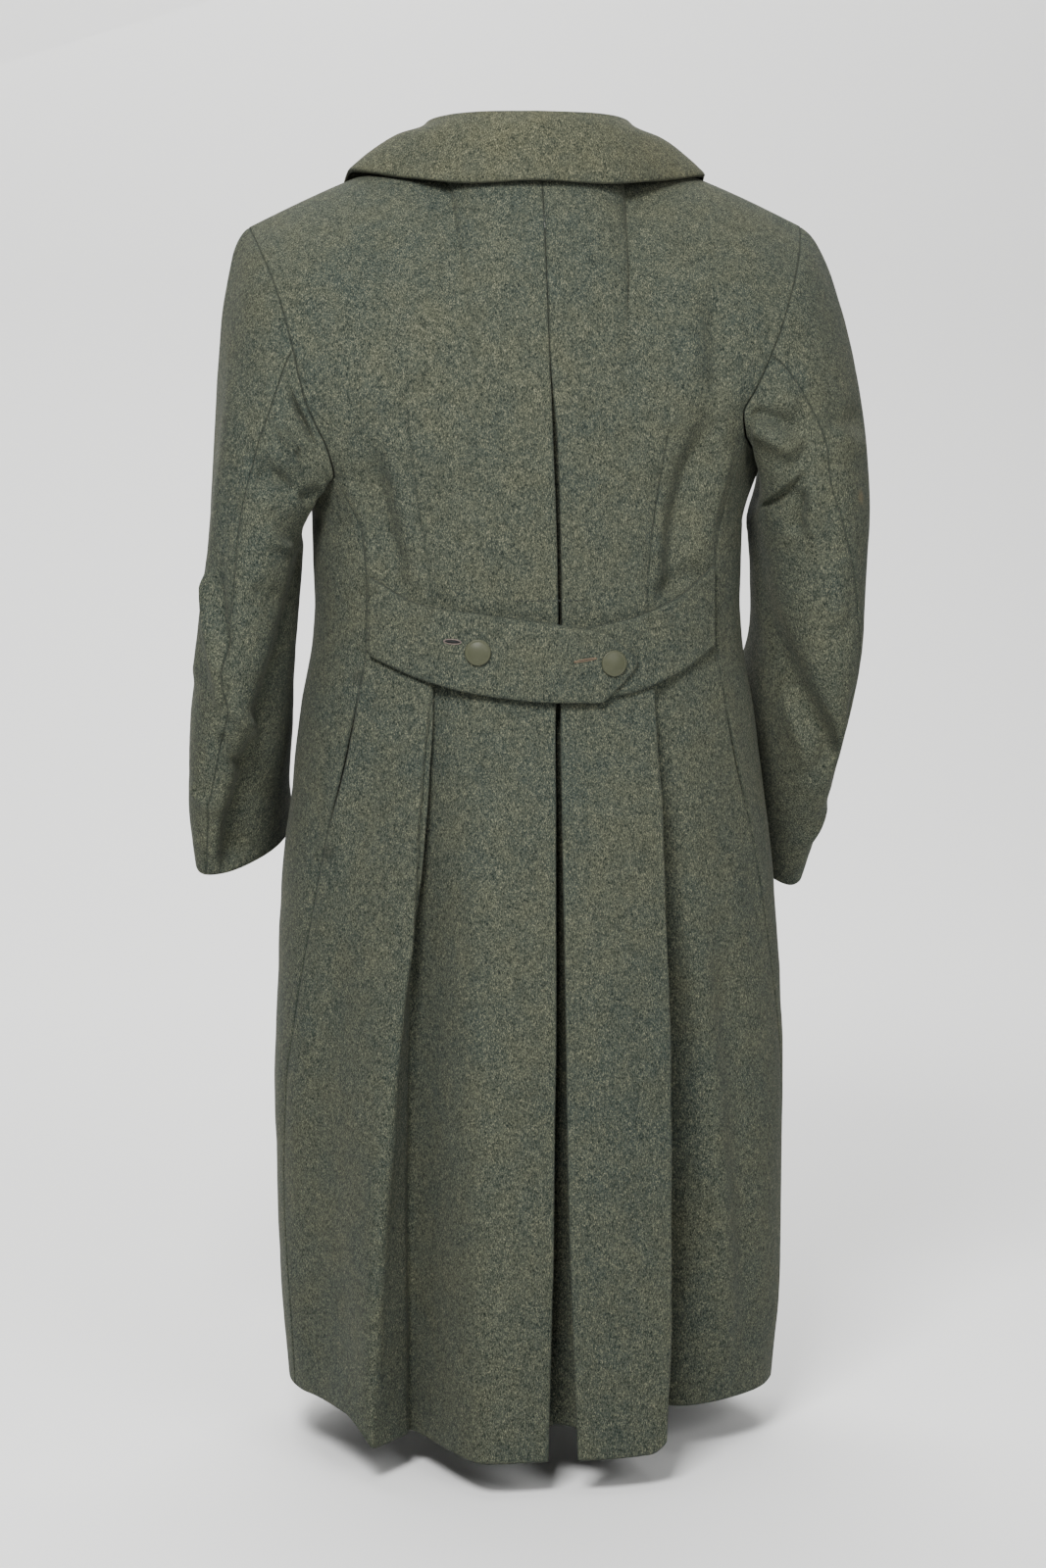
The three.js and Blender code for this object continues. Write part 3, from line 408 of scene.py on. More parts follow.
# A point of a sleeve: `along` runs from the armhole (0) to the cuff (1), `turn` round it as at the armhole
def sleeveRing(side, along, turn):
    x, y, z, half, deep, tilt, yaw = (
        read(sleeves[side], key, along, "at") for key in "x y z half deep tilt turn".split())
    a = np.radians(yaw)
    c, s = np.cos(np.radians(turn)) * half, np.sin(np.radians(turn)) * deep
    back = -c * np.sin(a) + s * np.cos(a)
    return np.stack([x + c * np.cos(a) + s * np.sin(a), y + back, z - back * np.tan(np.radians(tilt))], -1)


# A sleeve laid flat: the width of a degree and its length in mm, how its columns crowd to the back seam and
# where the front seam is, in degrees; then how far each piece keeps off a seam and how clear of the armhole
# it starts, and how far ahead of its first ring its way is taken
sleeveForm = dict(
    perDegree=1.15, length=580, crowd=1.35, front=(-90, 270), keepOff=0.1, clear=0.1, ahead=0.05)


def sleevePoint(side, along, turn):
    firstRing = sleeves[side]["at"][0]
    t = np.minimum(along / firstRing, 1)[..., None]
    begin, end = armhole(side, turn), sleeveRing(side, np.full_like(along, firstRing), turn)
    leave = readPoint(sleeveStart, turn, "turn")
    draw = unit(sleeveRing(side, np.full_like(along, firstRing + sleeveForm["ahead"]), turn) - end)
    draw = draw * read(sleeveStart, "draw", turn, "turn")[..., None]
    begin = begin + unit(unit(leave) + unit(readPoint(bodyEnd, turn, "turn"))) * sleeveForm["clear"]
    lower = sleeveRing(side, np.maximum(along, firstRing), turn)
    return np.where((along < firstRing)[..., None], curve(begin, end, leave, draw, t), lower)


# One piece of a sleeve as rows of turns, closer together where its folds are
def sleeveTurns(side, part):
    along = np.linspace(1, 0, detail["sleeveRows"])[:, None]
    seam = read(sleeveSeam[side], "turn", along, "at")
    t = np.linspace(0, 1, detail["sleeveColumns"])[None, :]
    crowd, off, (first, last) = sleeveForm["crowd"], sleeveForm["keepOff"], sleeveForm["front"]
    if part == "top":
        turn = mix(seam - off, first + off, t ** crowd)
    else:
        turn = mix(last - off, seam + off, 1 - (1 - t) ** crowd)
    return np.broadcast_arrays(along, turn)


# The collar in mm: how far above the neck seam it starts, the share of the front's top that its ends take,
# and its section: out and up from the roll, then share of the way to the free edge, out and up
collarForm = dict(
    above=0.6, frontShare=0.17, roll=((0, -7), (0.6, -1.5), (3.6, 0), (7, -3)),
    fall=((0.33, 3, 4), (0.7, 2, 3)))


# The collar's section from the neck seam up the stand, over the roll and down to the free edge
def collarGrid():
    at = np.abs(np.linspace(-1, 1, detail["collarColumns"]))
    mirror = np.linspace(-1, 1, detail["collarColumns"]) < 0
    back, front = at / collarShoulder, (at - collarShoulder) / (1 - collarShoulder)
    frontShare = frontNeck["share"][0] + 0.001 + np.clip(front, 0, 1) * collarForm["frontShare"]
    seam = np.where((at <= collarShoulder)[:, None], backTop(1, np.clip(back, 0, 1) * neck["share"]),
                    frontTop(1, frontShare))
    seam[:, 2] += collarForm["above"]
    roll, edge = readPoint(collarRows, at, "at", "rx ry rz"), readPoint(collarRows, at, "at", "ex ey ez")
    out = unit((edge - seam) * np.array([1, 1, 0]))
    place = lambda base, away, up: base + out * away + np.array([0, 0, up])
    stand = [seam, mix(seam, roll, 0.5)] + [place(roll, away, up) for away, up in collarForm["roll"]]
    fall = [place(mix(stand[-1], edge, share), away, up) for share, away, up in collarForm["fall"]]
    stops = np.stack(stand + fall + [edge])
    lengths = np.linalg.norm(np.diff(stops, axis=0), axis=2).mean(1)
    s = np.concatenate([[0], np.cumsum(lengths)])
    wanted = np.linspace(0, s[-1], detail["collarRows"])
    slope = np.gradient(stops, s, axis=0)
    i = np.clip(np.searchsorted(s, wanted, side="right") - 1, 0, len(s) - 2)
    h = (s[i + 1] - s[i])[:, None, None]
    t = ((wanted - s[i]) / (s[i + 1] - s[i]))[:, None, None]
    grid = curve(stops[i], stops[i + 1], h * slope[i], h * slope[i + 1], t)
    grid[:, mirror, 0] *= -1
    return grid, at, mirror


# The cloth behind the centre fold: where it starts and ends, half widths, gap, and how far it falls in along
# its middle: depth, and the heights between which the fall grows
underlayForm = dict(
    overHem=18, overSlit=4, half=(24, 52), widestAt=-600, gap=0.3, foldWidth=0.5,
    folds=((14, -170, -250), (26, -440, -640)))


def backDepth(x, z):
    t = np.clip((z - armpit) / -armpit, 0, 1)
    rounding = roundOff(t, upperBack["middlePower"])
    upper = mix(neck["back"], ringDepth(x, np.full_like(z, armpit), 1), rounding)
    return np.where(z <= armpit, ringDepth(x, z, 1), upper)


def underlayGrid():
    low, top = hem + underlayForm["overHem"], form["slitTop"] + underlayForm["overSlit"]
    z = places((low, detail["underlayRows"]), (top, 0))[:, None]
    across = np.linspace(-1, 1, detail["underlayColumns"])[None, :]
    wide = ease(form["slitTop"], underlayForm["widestAt"], z)
    x = read(centreFold, "x", z) + across * mix(*underlayForm["half"], wide)
    x, z = np.broadcast_arrays(x, z)
    y = backDepth(x, z) + read(centreFold, "lift", z) - form["cloth"] - form["layGap"] - underlayForm["gap"]
    inward = sum(deep * ease(high, low, z) for deep, high, low in underlayForm["folds"])
    y = y - np.exp(-(across / underlayForm["foldWidth"]) ** 2) * inward
    return np.stack([x + read(sway, "x", z), y, z], -1)


# The half belt follows the ring at one height where it lies lower, and stands clear of it; its left strap
# rises over the right one and ends in a point
beltForm = dict(levelBelow=-445.0, clear=3, lap=(86, 124), lapGaps=1.5, tipFrom=0.86, tipPower=1.25)


def beltDepth(x, z):
    back = ringDepth(x, np.maximum(z, beltForm["levelBelow"]), 1)
    return back + beltForm["clear"] + form["layGap"] + form["beltCloth"]


def leftRise(x):
    return (form["beltCloth"] + beltForm["lapGaps"] * form["layGap"]) * (1 - ease(*beltForm["lap"], x))


def strapGrid(rows, rise, tip=None):
    begin, end = rows["x"].max(), rows["x"].min()
    t = np.linspace(0, 1, detail["strapColumns"])
    across = np.linspace(0, 1, detail["strapRows"])[:, None]
    x = np.broadcast_to(mix(begin, end, t)[None], (detail["strapRows"], len(t))).copy()
    low, top = read(rows, "low", x, "x"), read(rows, "top", x, "x")
    z = mix(low, top, across)
    if tip:
        start = beltForm["tipFrom"]
        reach = np.clip((t[None] - start) / (1 - start), 0, 1)
        rounding = 1 - np.abs(2 * across - 1) ** beltForm["tipPower"]
        x = x + (tip["x"] - end) * reach * rounding
        z = z + (tip["z"] - mix(low, top, 0.5)) * reach ** 2 * rounding
    return np.stack([x, beltDepth(x, z) + rise(x), z], -1)


# Where a grid lies along a line of (x, z) places: the distance from it, with its side as the sign, the way
# gone along it and its length
def alongLine(x, z, line):
    line = np.array(line, float)
    nearest, signed, along = (np.full(x.shape, v) for v in (1e9, 0.0, 0.0))
    gone = 0.0
    for a, b in zip(line[:-1], line[1:]):
        length = np.linalg.norm(b - a)
        way = (b - a) / length
        t = np.clip((x - a[0]) * way[0] + (z - a[1]) * way[1], 0, length)
        dx, dz = x - a[0] - t * way[0], z - a[1] - t * way[1]
        far = np.hypot(dx, dz)
        closer = far < nearest
        side = np.where(way[0] * dz - way[1] * dx >= 0, 1.0, -1.0)
        nearest, signed = np.where(closer, far, nearest), np.where(closer, side * far, signed)
        along = np.where(closer, gone + t, along)
        gone += length
    return signed, along, gone


# Height of a fold or groove drawn along a line: `width` across, fading towards its ends
def stroke(x, z, line, width, height, fade):
    far, along, length = alongLine(x, z, line)
    ends = ease(0, fade, along) * ease(0, fade, length - along)
    return height * np.exp(-(far / width) ** 2) * ends


# The same for a fold that overhangs: high on one side of its line, low on the other
def overhang(x, z, line, sharp, reach, height, fade):
    far, along, length = alongLine(x, z, line)
    ends = ease(0, fade, along) * ease(0, fade, length - along)
    return height * np.tanh(far / sharp) * np.exp(-(far / reach) ** 2) * ends


# Folds, hollows and seams of each panel: line of (x, z), width, height
backStrokes = {
    1: [
        ([(154, -222), (147, -262), (137, -306), (132, -332), (122, -385)], 12, -10.5, 45),
        ([(173, -262), (166, -290), (160, -322), (157, -356)], 9, 3.4, 30),
        ([(135, -232), (127, -290), (118, -340)], 9, 2.2, 40),
        ([(119, -208), (115, -245), (109, -292), (101, -341), (97, -382)], 7, -1.6, 30),
        ([(30, -371), (-6, -371)], 1.6, -0.7, 4),
        ([(60, -60), (74, -140), (70, -210)], 26, 1.3, 60),
        ([(128, -355), (108, -366), (70, -377)], 7, -2.0, 20),
        ([(40, -480), (46, -700), (50, -1000)], 24, 2.2, 120),
        ([(178, -640), (186, -800), (186, -960), (182, -1080)], 16, -4.0, 80),
        ([(138, -760), (150, -893), (155, -1000), (158, -1085)], 10, 4.0, 90),
        ([(92, -560), (104, -740), (104, -1085)], 14, -3.0, 110),
    ],
    -1: [
        ([(-147, -100), (-150, -182), (-143, -215)], 12, -7.0, 40),
        ([(-146, -205), (-136, -240), (-126, -262), (-117, -300), (-113, -335), (-112, -385)], 13, -12.0, 45),
        ([(-166, -226), (-158, -262), (-150, -300), (-146, -340)], 8, 3.2, 30),
        ([(-128, -128), (-118, -200), (-112, -240)], 14, 2.2, 40),
        ([(-106, -220), (-97, -272), (-91, -312), (-87, -347), (-86, -385)], 7, -1.6, 30),
        ([(-84, -374), (-112, -360), (-148, -343)], 9, -6.5, 22),
        ([(6, -371), (-27, -371)], 1.6, -0.7, 4),
        ([(-60, -60), (-66, -150)], 24, 1.4, 50),
        ([(-124, -600), (-134, -700), (-146, -800), (-155, -900), (-166, -1085)], 14, 8.5, 110),
        ([(-150, -640), (-162, -760), (-174, -880), (-186, -1085)], 16, -4.0, 110),
        ([(-52, -500), (-50, -720), (-46, -1000)], 22, 2.0, 120),
        ([(-196, -560), (-198, -700)], 14, -2.4, 60),
        ([(-112, -640), (-116, -800), (-112, -1085)], 14, -3.0, 110),
    ],
}
frontStrokes = {
    1: [([(120, -240), (118, -330), (124, -420)], 16, -4, 60),
        ([(150, -520), (168, -760), (176, -1060)], 26, 4, 120),
        ([(60, -560), (70, -820), (74, -1080)], 30, 5, 140),
        ([(105, -600), (122, -840), (130, -1080)], 20, -5, 140)],
    -1: [([(-120, -240), (-118, -330), (-124, -420)], 16, -4, 60),
         ([(-150, -520), (-166, -760), (-172, -1060)], 26, 4, 120),
         ([(-112, -600), (-128, -840), (-134, -1080)], 20, -5, 140)],
}
# The darts at the shoulder blades
darts = {1: [(119, -206), (115, -245), (109, -292), (101, -341), (97, -382)],
         -1: [(-106, -222), (-97, -272), (-91, -312), (-87, -347), (-86, -385)]}
dartForm = dict(width=0.9, height=1.0, fade=8.0)
# Folds of the sleeves: line of (turn, share of the way down), width and height in mm
sleeveStrokes = {
    1: [
        ([(98, 0.10), (108, 0.13), (116, 0.12)], 18, 8.0),
        ([(84, 0.065), (106, 0.038), (122, 0.06)], 5, -5.0),
        ([(124, 0.19), (96, 0.225), (76, 0.28)], 11, -6.0),
        ([(150, 0.10), (140, 0.17), (128, 0.22)], 9, -4.0),
        ([(38, 0.42), (56, 0.51), (81, 0.58), (100, 0.65)], 9, 4.2),
        ([(52, 0.42), (72, 0.50), (92, 0.56)], 9, -3.2),
        ([(98, 0.62), (126, 0.67), (148, 0.72)], 8, 4.5), ([(94, 0.68), (118, 0.735), (140, 0.77)], 9, -3.8),
        ([(60, 0.80), (90, 0.83), (120, 0.86)], 10, 2.6), ([(40, 0.18), (36, 0.40), (40, 0.62)], 16, 2.0),
        ([(98, 0.32), (122, 0.36), (150, 0.38)], 12, 3.0), ([(96, 0.44), (124, 0.46), (150, 0.47)], 10, -2.8),
        ([(300, 0.2), (306, 0.5)], 16, -3.0),
    ],
    -1: [
        ([(128, 0.05), (116, 0.13), (108, 0.17), (99, 0.22)], 10, 8.5),
        ([(120, 0.03), (107, 0.10), (96, 0.165), (90, 0.19)], 6, -5.0),
        ([(96, 0.05), (92, 0.11), (86, 0.155)], 8, 3.5),
        ([(108, 0.27), (122, 0.33), (128, 0.40)], 8, -6.0), ([(98, 0.25), (104, 0.33), (112, 0.42)], 8, 3.4),
        ([(74, 0.19), (53, 0.235), (20, 0.27)], 7, -2.8), ([(70, 0.225), (48, 0.27), (20, 0.305)], 9, 2.4),
        ([(150, 0.64), (133, 0.70), (104, 0.76)], 12, 3.6), ([(60, 0.50), (84, 0.54), (112, 0.55)], 11, -2.6),
        ([(66, 0.62), (60, 0.70), (66, 0.80)], 12, -2.4), ([(40, 0.84), (70, 0.87), (100, 0.91)], 10, 2.6),
        ([(300, 0.2), (306, 0.5)], 16, -3.0),
    ],
}
# Folds that hang over what lies beside them: line as above, sharpness, reach and height
sleeveOverhangs = {
    1: [([(166, 0.36), (150, 0.42), (141, 0.5), (134, 0.59), (130, 0.67), (128, 0.78), (122, 0.85),
          (117, 0.92), (115, 1.0)], 5, 40, 11.0)],
    -1: [([(174, 0.25), (168, 0.31), (160, 0.44), (157, 0.48), (151, 0.53), (138, 0.58), (126, 0.62),
           (108, 0.66), (83, 0.71), (62, 0.75)], 5, 34, 9.0),
         ([(96, 0.235), (110, 0.25), (130, 0.26), (153, 0.27), (176, 0.29)], 4, 22, -6.5)],
}
# Where the seam between the top and the under sleeve runs
sleeveSeam = {
    1: table("at turn",
        (0, 78), (0.12, 81), (0.25, 75), (0.33, 72), (0.45, 80), (0.57, 87), (0.66, 105), (0.75, 103),
        (0.88, 99), (1.0, 95)),
    -1: table("at turn",
        (0, 84), (0.13, 80), (0.23, 77), (0.30, 83), (0.38, 78), (0.46, 68), (0.56, 60), (0.75, 57),
        (1.0, 62)),
}

# Unevenness of the cloth: how far apart its swells are and how high, in mm
evenness = dict(wide=(90.0, 1.5), close=(32.0, 0.55), fine=(11.0, 0.14))


def uneven(u, v, seed):
    swells = enumerate(evenness.values())
    return sum(unevenness(u, v, size, seed + i) * height for i, (size, height) in swells)


# Adds lines close to the edges of a grid, where the cloth turns in
def finer(grid, fractions=(0.3, 0.62)):
    def along(g):
        head = [g[:1]] + [mix(g[:1], g[1:2], f) for f in fractions]
        tail = [mix(g[-2:-1], g[-1:], 1 - f) for f in fractions[::-1]] + [g[-1:]]
        return np.concatenate(head + [g[1:-1]] + tail)
    return np.swapaxes(along(np.swapaxes(along(grid), 0, 1)), 0, 1)


def distances(grid, axis):
    steps = np.linalg.norm(np.diff(grid, axis=axis), axis=2)
    start = np.zeros_like(np.take(steps, [0], axis=axis))
    return np.concatenate([start, np.cumsum(steps, axis=axis)], axis=axis)


def outward(grid, flip):
    normal = unit(np.cross(np.gradient(grid, axis=1), np.gradient(grid, axis=0)))
    return -normal if flip else normal


# How deep and wide each kind of edge is pressed in
seamEdge, foldEdge, freeEdge, plainEdge = (0.9, 2.0), (0.9, 2.4), (1.0, 2.6), (0.9, 2.2)
softEdge, collarEdge = (1.5, 4.2), (1.1, 3.4)

# The wall of a piece: depth of a dart, width of the shade painted into the colour along its edges and darts,
# how far the inside follows the pressed edge, what it draws back below the upper edge and over which width,
# and how far its rim reaches past a seam
wall = dict(dart=1.1, shade=1.0, follow=0.35, drawBack=1.6, drawOver=3.0, turnOut=1.4)


# A piece of cloth from the grid of its outer skin: the skin, its inner side and the turned edges between.
# `edges` gives the kind of its low, high, first and last edge, `marks` its darts, `lean` a shift to the back
def clothPiece(name, grid, thickness, flip, relief=None, edges=None, marks=None, lean=0.0):
    edges = edges or {}
    grid = finer(grid)
    grid[..., 1] += lean
    if relief is not None:
        grid = grid + outward(grid, flip) * relief(grid)[..., None]
    normal = outward(grid, flip)
    down, across = distances(grid, 0), distances(grid, 1)
    room = dict(low=down, high=down[-1:] - down, first=across, last=across[:, -1:] - across)
    # `seam` marks where shade is painted into the colour: close to every edge and along the darts
    sink, seam = np.zeros(grid.shape[:2]), np.zeros(grid.shape[:2])
    for edge, far in room.items():
        depth, width = edges.get(edge, plainEdge)
        sink = np.maximum(sink, depth * np.clip(1 - far / width, 0, 1) ** 2)
        seam = np.maximum(seam, np.exp(-(far / wall["shade"]) ** 2))
    if marks is not None:
        groove = marks(grid)
        sink, seam = sink + wall["dart"] * groove, np.maximum(seam, groove)
    outer = grid - normal * sink[..., None]
    inside = thickness - wall["follow"] * np.minimum(sink, 1.0)
    if "high" in edges:
        inside = inside + wall["drawBack"] * np.clip(1 - room["high"] / wall["drawOver"], 0, 1)
    inner = grid - normal * inside[..., None]
    rims = dict(low=(np.s_[0], np.s_[2]), high=(np.s_[-1], np.s_[-3]), first=(np.s_[:, 0], np.s_[:, 2]),
                last=(np.s_[:, -1], np.s_[:, -3]))
    for edge, (rim, within) in rims.items():
        if edges.get(edge) == seamEdge:
            inner[rim] += unit(grid[rim] - grid[within]) * wall["turnOut"]
    rows, cols = grid.shape[:2]
    i = np.arange(rows * cols).reshape(rows, cols)
    j = i + rows * cols
    quad = lambda a, b, c, d: np.stack([a, b, c, d], -1).reshape(-1, 4)
    faces = np.concatenate([
        quad(i[:-1, :-1], i[:-1, 1:], i[1:, 1:], i[1:, :-1]),
        quad(j[:-1, :-1], j[1:, :-1], j[1:, 1:], j[:-1, 1:]),
        quad(j[0, :-1], j[0, 1:], i[0, 1:], i[0, :-1]), quad(i[-1, :-1], i[-1, 1:], j[-1, 1:], j[-1, :-1]),
        quad(i[:-1, 0], i[1:, 0], j[1:, 0], j[:-1, 0]), quad(i[:-1, -1], j[:-1, -1], j[1:, -1], i[1:, -1])])
    if flip:
        faces = faces[:, ::-1]
    points = np.concatenate([outer.reshape(-1, 3), inner.reshape(-1, 3)])
    # Only the outer skin carries the mask of painted shade
    paintedSeamShade = np.concatenate([seam.ravel(), np.zeros(rows * cols)])
    piece = meshPiece(name, points, faces, paintedSeamShade)
    return piece


def meshPiece(name, points, faces, paintedSeamShade=None):
    name = name.replace(" ", "_")
    mesh = bpy.data.meshes.new(name)
    mesh.vertices.add(len(points))
    mesh.vertices.foreach_set("co", (points * 0.001).ravel())
    mesh.loops.add(faces.size)
    mesh.loops.foreach_set("vertex_index", faces.ravel().astype(np.int32))
    mesh.polygons.add(len(faces))
    mesh.polygons.foreach_set("loop_start", np.arange(0, faces.size, faces.shape[1], dtype=np.int32))
    mesh.update(calc_edges=True)
    mesh.validate()
    mesh.shade_smooth()
    # The mask of shade painted along edges and darts, kept on the mesh for the wool's colour
    if paintedSeamShade is not None:
        mesh.attributes.new("seam", "FLOAT", "POINT").data.foreach_set("value", paintedSeamShade.astype(np.float32))
    piece = intoScene(name, mesh)
    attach(piece, "root")
    return piece


def toSide(side, grid):
    grid = grid.copy()
    grid[..., 0] = side * grid[..., 0] + read(sway, "x", grid[..., 2])
    return grid


# Sets a socket of a shader node to a value or a colour, or links it to what feeds it
def feed(socket, value):
    if isinstance(value, bpy.types.NodeSocket):
        socket.id_data.links.new(value, socket)
    else:
        socket.default_value = (*value, 1.0) if socket.type == "RGBA" else value


def node(tree, kind, feeds=None, **settings):
    made = tree.nodes.new(kind)
    for key, value in settings.items():
        setattr(made, key, value)
    for socket, value in (feeds or {}).items():
        feed(made.inputs[socket], value)
    return made


def maths(tree, operation, a, b):
    return node(tree, "ShaderNodeMath", {0: a, 1: b}, operation=operation).outputs[0]


def times(tree, a, b):
    return maths(tree, "MULTIPLY", a, b)


def plus(tree, a, b):
    return maths(tree, "ADD", a, b)


def spread(tree, value, low, high):
    feeds = {"Value": value, "From Min": low, "From Max": high}
    return node(tree, "ShaderNodeMapRange", feeds, interpolation_type="SMOOTHSTEP").outputs["Result"]


def noise(tree, place, scale, detailing, roughness):
    feeds = {"Vector": place, "Scale": scale, "Detail": detailing, "Roughness": roughness}
    return node(tree, "ShaderNodeTexNoise", feeds).outputs["Fac"]


def mixColour(tree, factor, a, b):
    return node(tree, "ShaderNodeMix", {"Factor": factor, 6: a, 7: b}, data_type="RGBA").outputs[2]


def objectPlace(tree):
    return node(tree, "ShaderNodeTexCoord").outputs["Object"]


def newMaterial(name, surface):
    material = bpy.data.materials.new(name)
    material.use_nodes = True
    tree = material.node_tree
    shader = next(n for n in tree.nodes if n.type == "BSDF_PRINCIPLED")
    for socket, value in surface.items():
        feed(shader.inputs[socket], value)
    return material, tree, shader


# The wool's fibres: size, detail and roughness of each noise, how streaks are stretched and turned, how much
# tufts gather them, and between which values pale ones, dark ones and specks show
fibreLook = dict(
    streak=(1150.0, 1.0, 0.6), speck=(1500.0, 1.0, 0.65), tuft=(210.0, 2.0, 0.6), cloud=(42.0, 3.0, 0.6),
    shade=(7.0, 2.0, 0.55), stretch=(1.0, 1.0, 0.42),
    turns=((0.4, 0.9, 0.3), (1.2, -0.5, 1.9), (-0.7, 2.1, 2.6)), paleTuft=0.22, darkTuft=0.18,
    pale=(0.56, 0.76), dark=(0.55, 0.74), specks=(0.38, 0.62), speckHeight=0.5, streakHeight=0.6)


# How pale and dark fibres, clouds of tint and the nap are spread over the cloth
def fibreGroup():
    look = fibreLook
    tree = bpy.data.node_groups.new("mixed wool fibres", "ShaderNodeTree")
    for name in ("fibre size", "cloud size"):
        socket = tree.interface.new_socket(name, in_out="INPUT", socket_type="NodeSocketFloat")
        socket.default_value, socket.min_value, socket.max_value = 1.0, 0.0, 10.0
    for name in ("pale fibres", "dark fibres", "clouds", "shade", "nap height"):
        tree.interface.new_socket(name, in_out="OUTPUT", socket_type="NodeSocketFloat")
    into, out = node(tree, "NodeGroupInput"), node(tree, "NodeGroupOutput")
    place = objectPlace(tree)
    scaled = []
    for size in ("fibre size", "cloud size"):
        feeds = {0: place, "Scale": maths(tree, "DIVIDE", 1.0, into.outputs[size])}
        scaled.append(node(tree, "ShaderNodeVectorMath", feeds, operation="SCALE").outputs["Vector"])
    fibre, cloud = scaled
    streaks = []
    for turn in look["turns"]:
        feeds = {"Vector": fibre, "Scale": look["stretch"], "Rotation": turn}
        streaks.append(noise(tree, node(tree, "ShaderNodeMapping", feeds).outputs["Vector"], *look["streak"]))
    one, two, three = streaks
    most = maths(tree, "MAXIMUM", maths(tree, "MAXIMUM", one, two), three)
    least = maths(tree, "MINIMUM", maths(tree, "MINIMUM", one, two), three)
    speck = noise(tree, fibre, *look["speck"])
    gathered = maths(tree, "SUBTRACT", noise(tree, fibre, *look["tuft"]), 0.5)
    pale = spread(tree, plus(tree, most, times(tree, gathered, look["paleTuft"])), *look["pale"])
    few = plus(tree, least, times(tree, gathered, look["darkTuft"]))
    height = plus(tree, times(tree, speck, look["speckHeight"]), times(tree, most, look["streakHeight"]))
    feed(out.inputs["pale fibres"], times(tree, pale, spread(tree, speck, *look["specks"])))
    feed(out.inputs["dark fibres"], spread(tree, maths(tree, "SUBTRACT", 1.0, few), *look["dark"]))
    feed(out.inputs["clouds"], noise(tree, cloud, *look["cloud"]))
    feed(out.inputs["shade"], noise(tree, cloud, *look["shade"]))
    feed(out.inputs["nap height"], height)
    return tree


fibres = fibreGroup()

# Stains of the cloth: middle and radius in mm, and colour
stains = [(158, 84, -437, 7, (0.016, 0.018, 0.014)), (184, 77, -588, 8, (0.014, 0.016, 0.013)),
          (-281, 73, -286, 6, (0.11, 0.085, 0.045))]

# How the wool takes light, and how strongly each part of its look shows, among them the shade painted
# along seams, edges and darts and how dark it is
woolSurface = {"Roughness": 0.95, "Specular IOR Level": 0.12, "Sheen Weight": 0.04, "Sheen Roughness": 0.5,
               "Sheen Tint": (0.75, 0.78, 0.66)}
woolLook = dict(
    fibreSize=1.0, cloudSize=1.0, shade=0.45, shadeSpread=(0.3, 0.7), clouds=0.55, cloudSpread=(0.3, 0.72),
    dark=0.95, pale=0.8, stain=0.45, stainOut=0.0020, stainIn=0.0008, seam=0.55, paintedShadeTint=0.45, bump=0.6,
    nap=0.0009)


def woolMaterial(name, ground, pale, dark, tint):
    look = woolLook
    material, tree, shader = newMaterial(name, woolSurface)
    sizes = {"fibre size": look["fibreSize"], "cloud size": look["cloudSize"]}
    group = node(tree, "ShaderNodeGroup", sizes, node_tree=fibres)
    shade = times(tree, spread(tree, group.outputs["shade"], *look["shadeSpread"]), look["shade"])
    clouds = times(tree, spread(tree, group.outputs["clouds"], *look["cloudSpread"]), look["clouds"])
    colour = mixColour(tree, plus(tree, shade, clouds), ground, tint)
    colour = mixColour(tree, times(tree, group.outputs["dark fibres"], look["dark"]), colour, dark)
    colour = mixColour(tree, times(tree, group.outputs["pale fibres"], look["pale"]), colour, pale)
    for x, y, z, radius, stain in stains:
        middle = (x * 0.001, y * 0.001, z * 0.001)
        away = node(tree, "ShaderNodeVectorMath", {0: objectPlace(tree), 1: middle}, operation="DISTANCE")
        ragged = plus(tree, away.outputs["Value"], times(tree, group.outputs["clouds"], radius * 0.001))
        inside = spread(tree, ragged, radius * look["stainOut"], radius * look["stainIn"])
        colour = mixColour(tree, times(tree, inside, look["stain"]), colour, stain)
    # Painted shade: along seams, edges and darts the colour turns towards a darker copy of the ground
    seam = node(tree, "ShaderNodeAttribute", attribute_name="seam").outputs["Fac"]
    deep = tuple(v * look["paintedShadeTint"] for v in ground)
    feed(shader.inputs["Base Color"], mixColour(tree, times(tree, seam, look["seam"]), colour, deep))
    raised = {"Strength": look["bump"], "Distance": look["nap"], "Height": group.outputs["nap height"]}
    feed(shader.inputs["Normal"], node(tree, "ShaderNodeBump", raised).outputs["Normal"])
    return material


# Colours of each wool: its ground and the tint that clouds it, then its pale and its dark fibres
woolColours = {
    "field grey wool": dict(
        ground=(0.029, 0.038, 0.032), tint=(0.049, 0.053, 0.036), pale=(0.20, 0.196, 0.130),
        dark=(0.005, 0.008, 0.007)),
    "collar wool": dict(
        ground=(0.037, 0.043, 0.032), tint=(0.058, 0.059, 0.036), pale=(0.22, 0.21, 0.130),
        dark=(0.006, 0.009, 0.007)),
}
wool, collarWool = (woolMaterial(name, **colours) for name, colours in woolColours.items())


# The buttons' dull paint: its colour, the worn one, how much of it shows, where, and the noise that places it
paintLook = dict(
    paint=(0.044, 0.047, 0.027), worn=(0.09, 0.086, 0.055), share=0.35, spread=(0.55, 0.75),
    noise=(700.0, 3.0, 0.7), surface={"Metallic": 0.0, "Specular IOR Level": 0.22, "Roughness": 0.45})


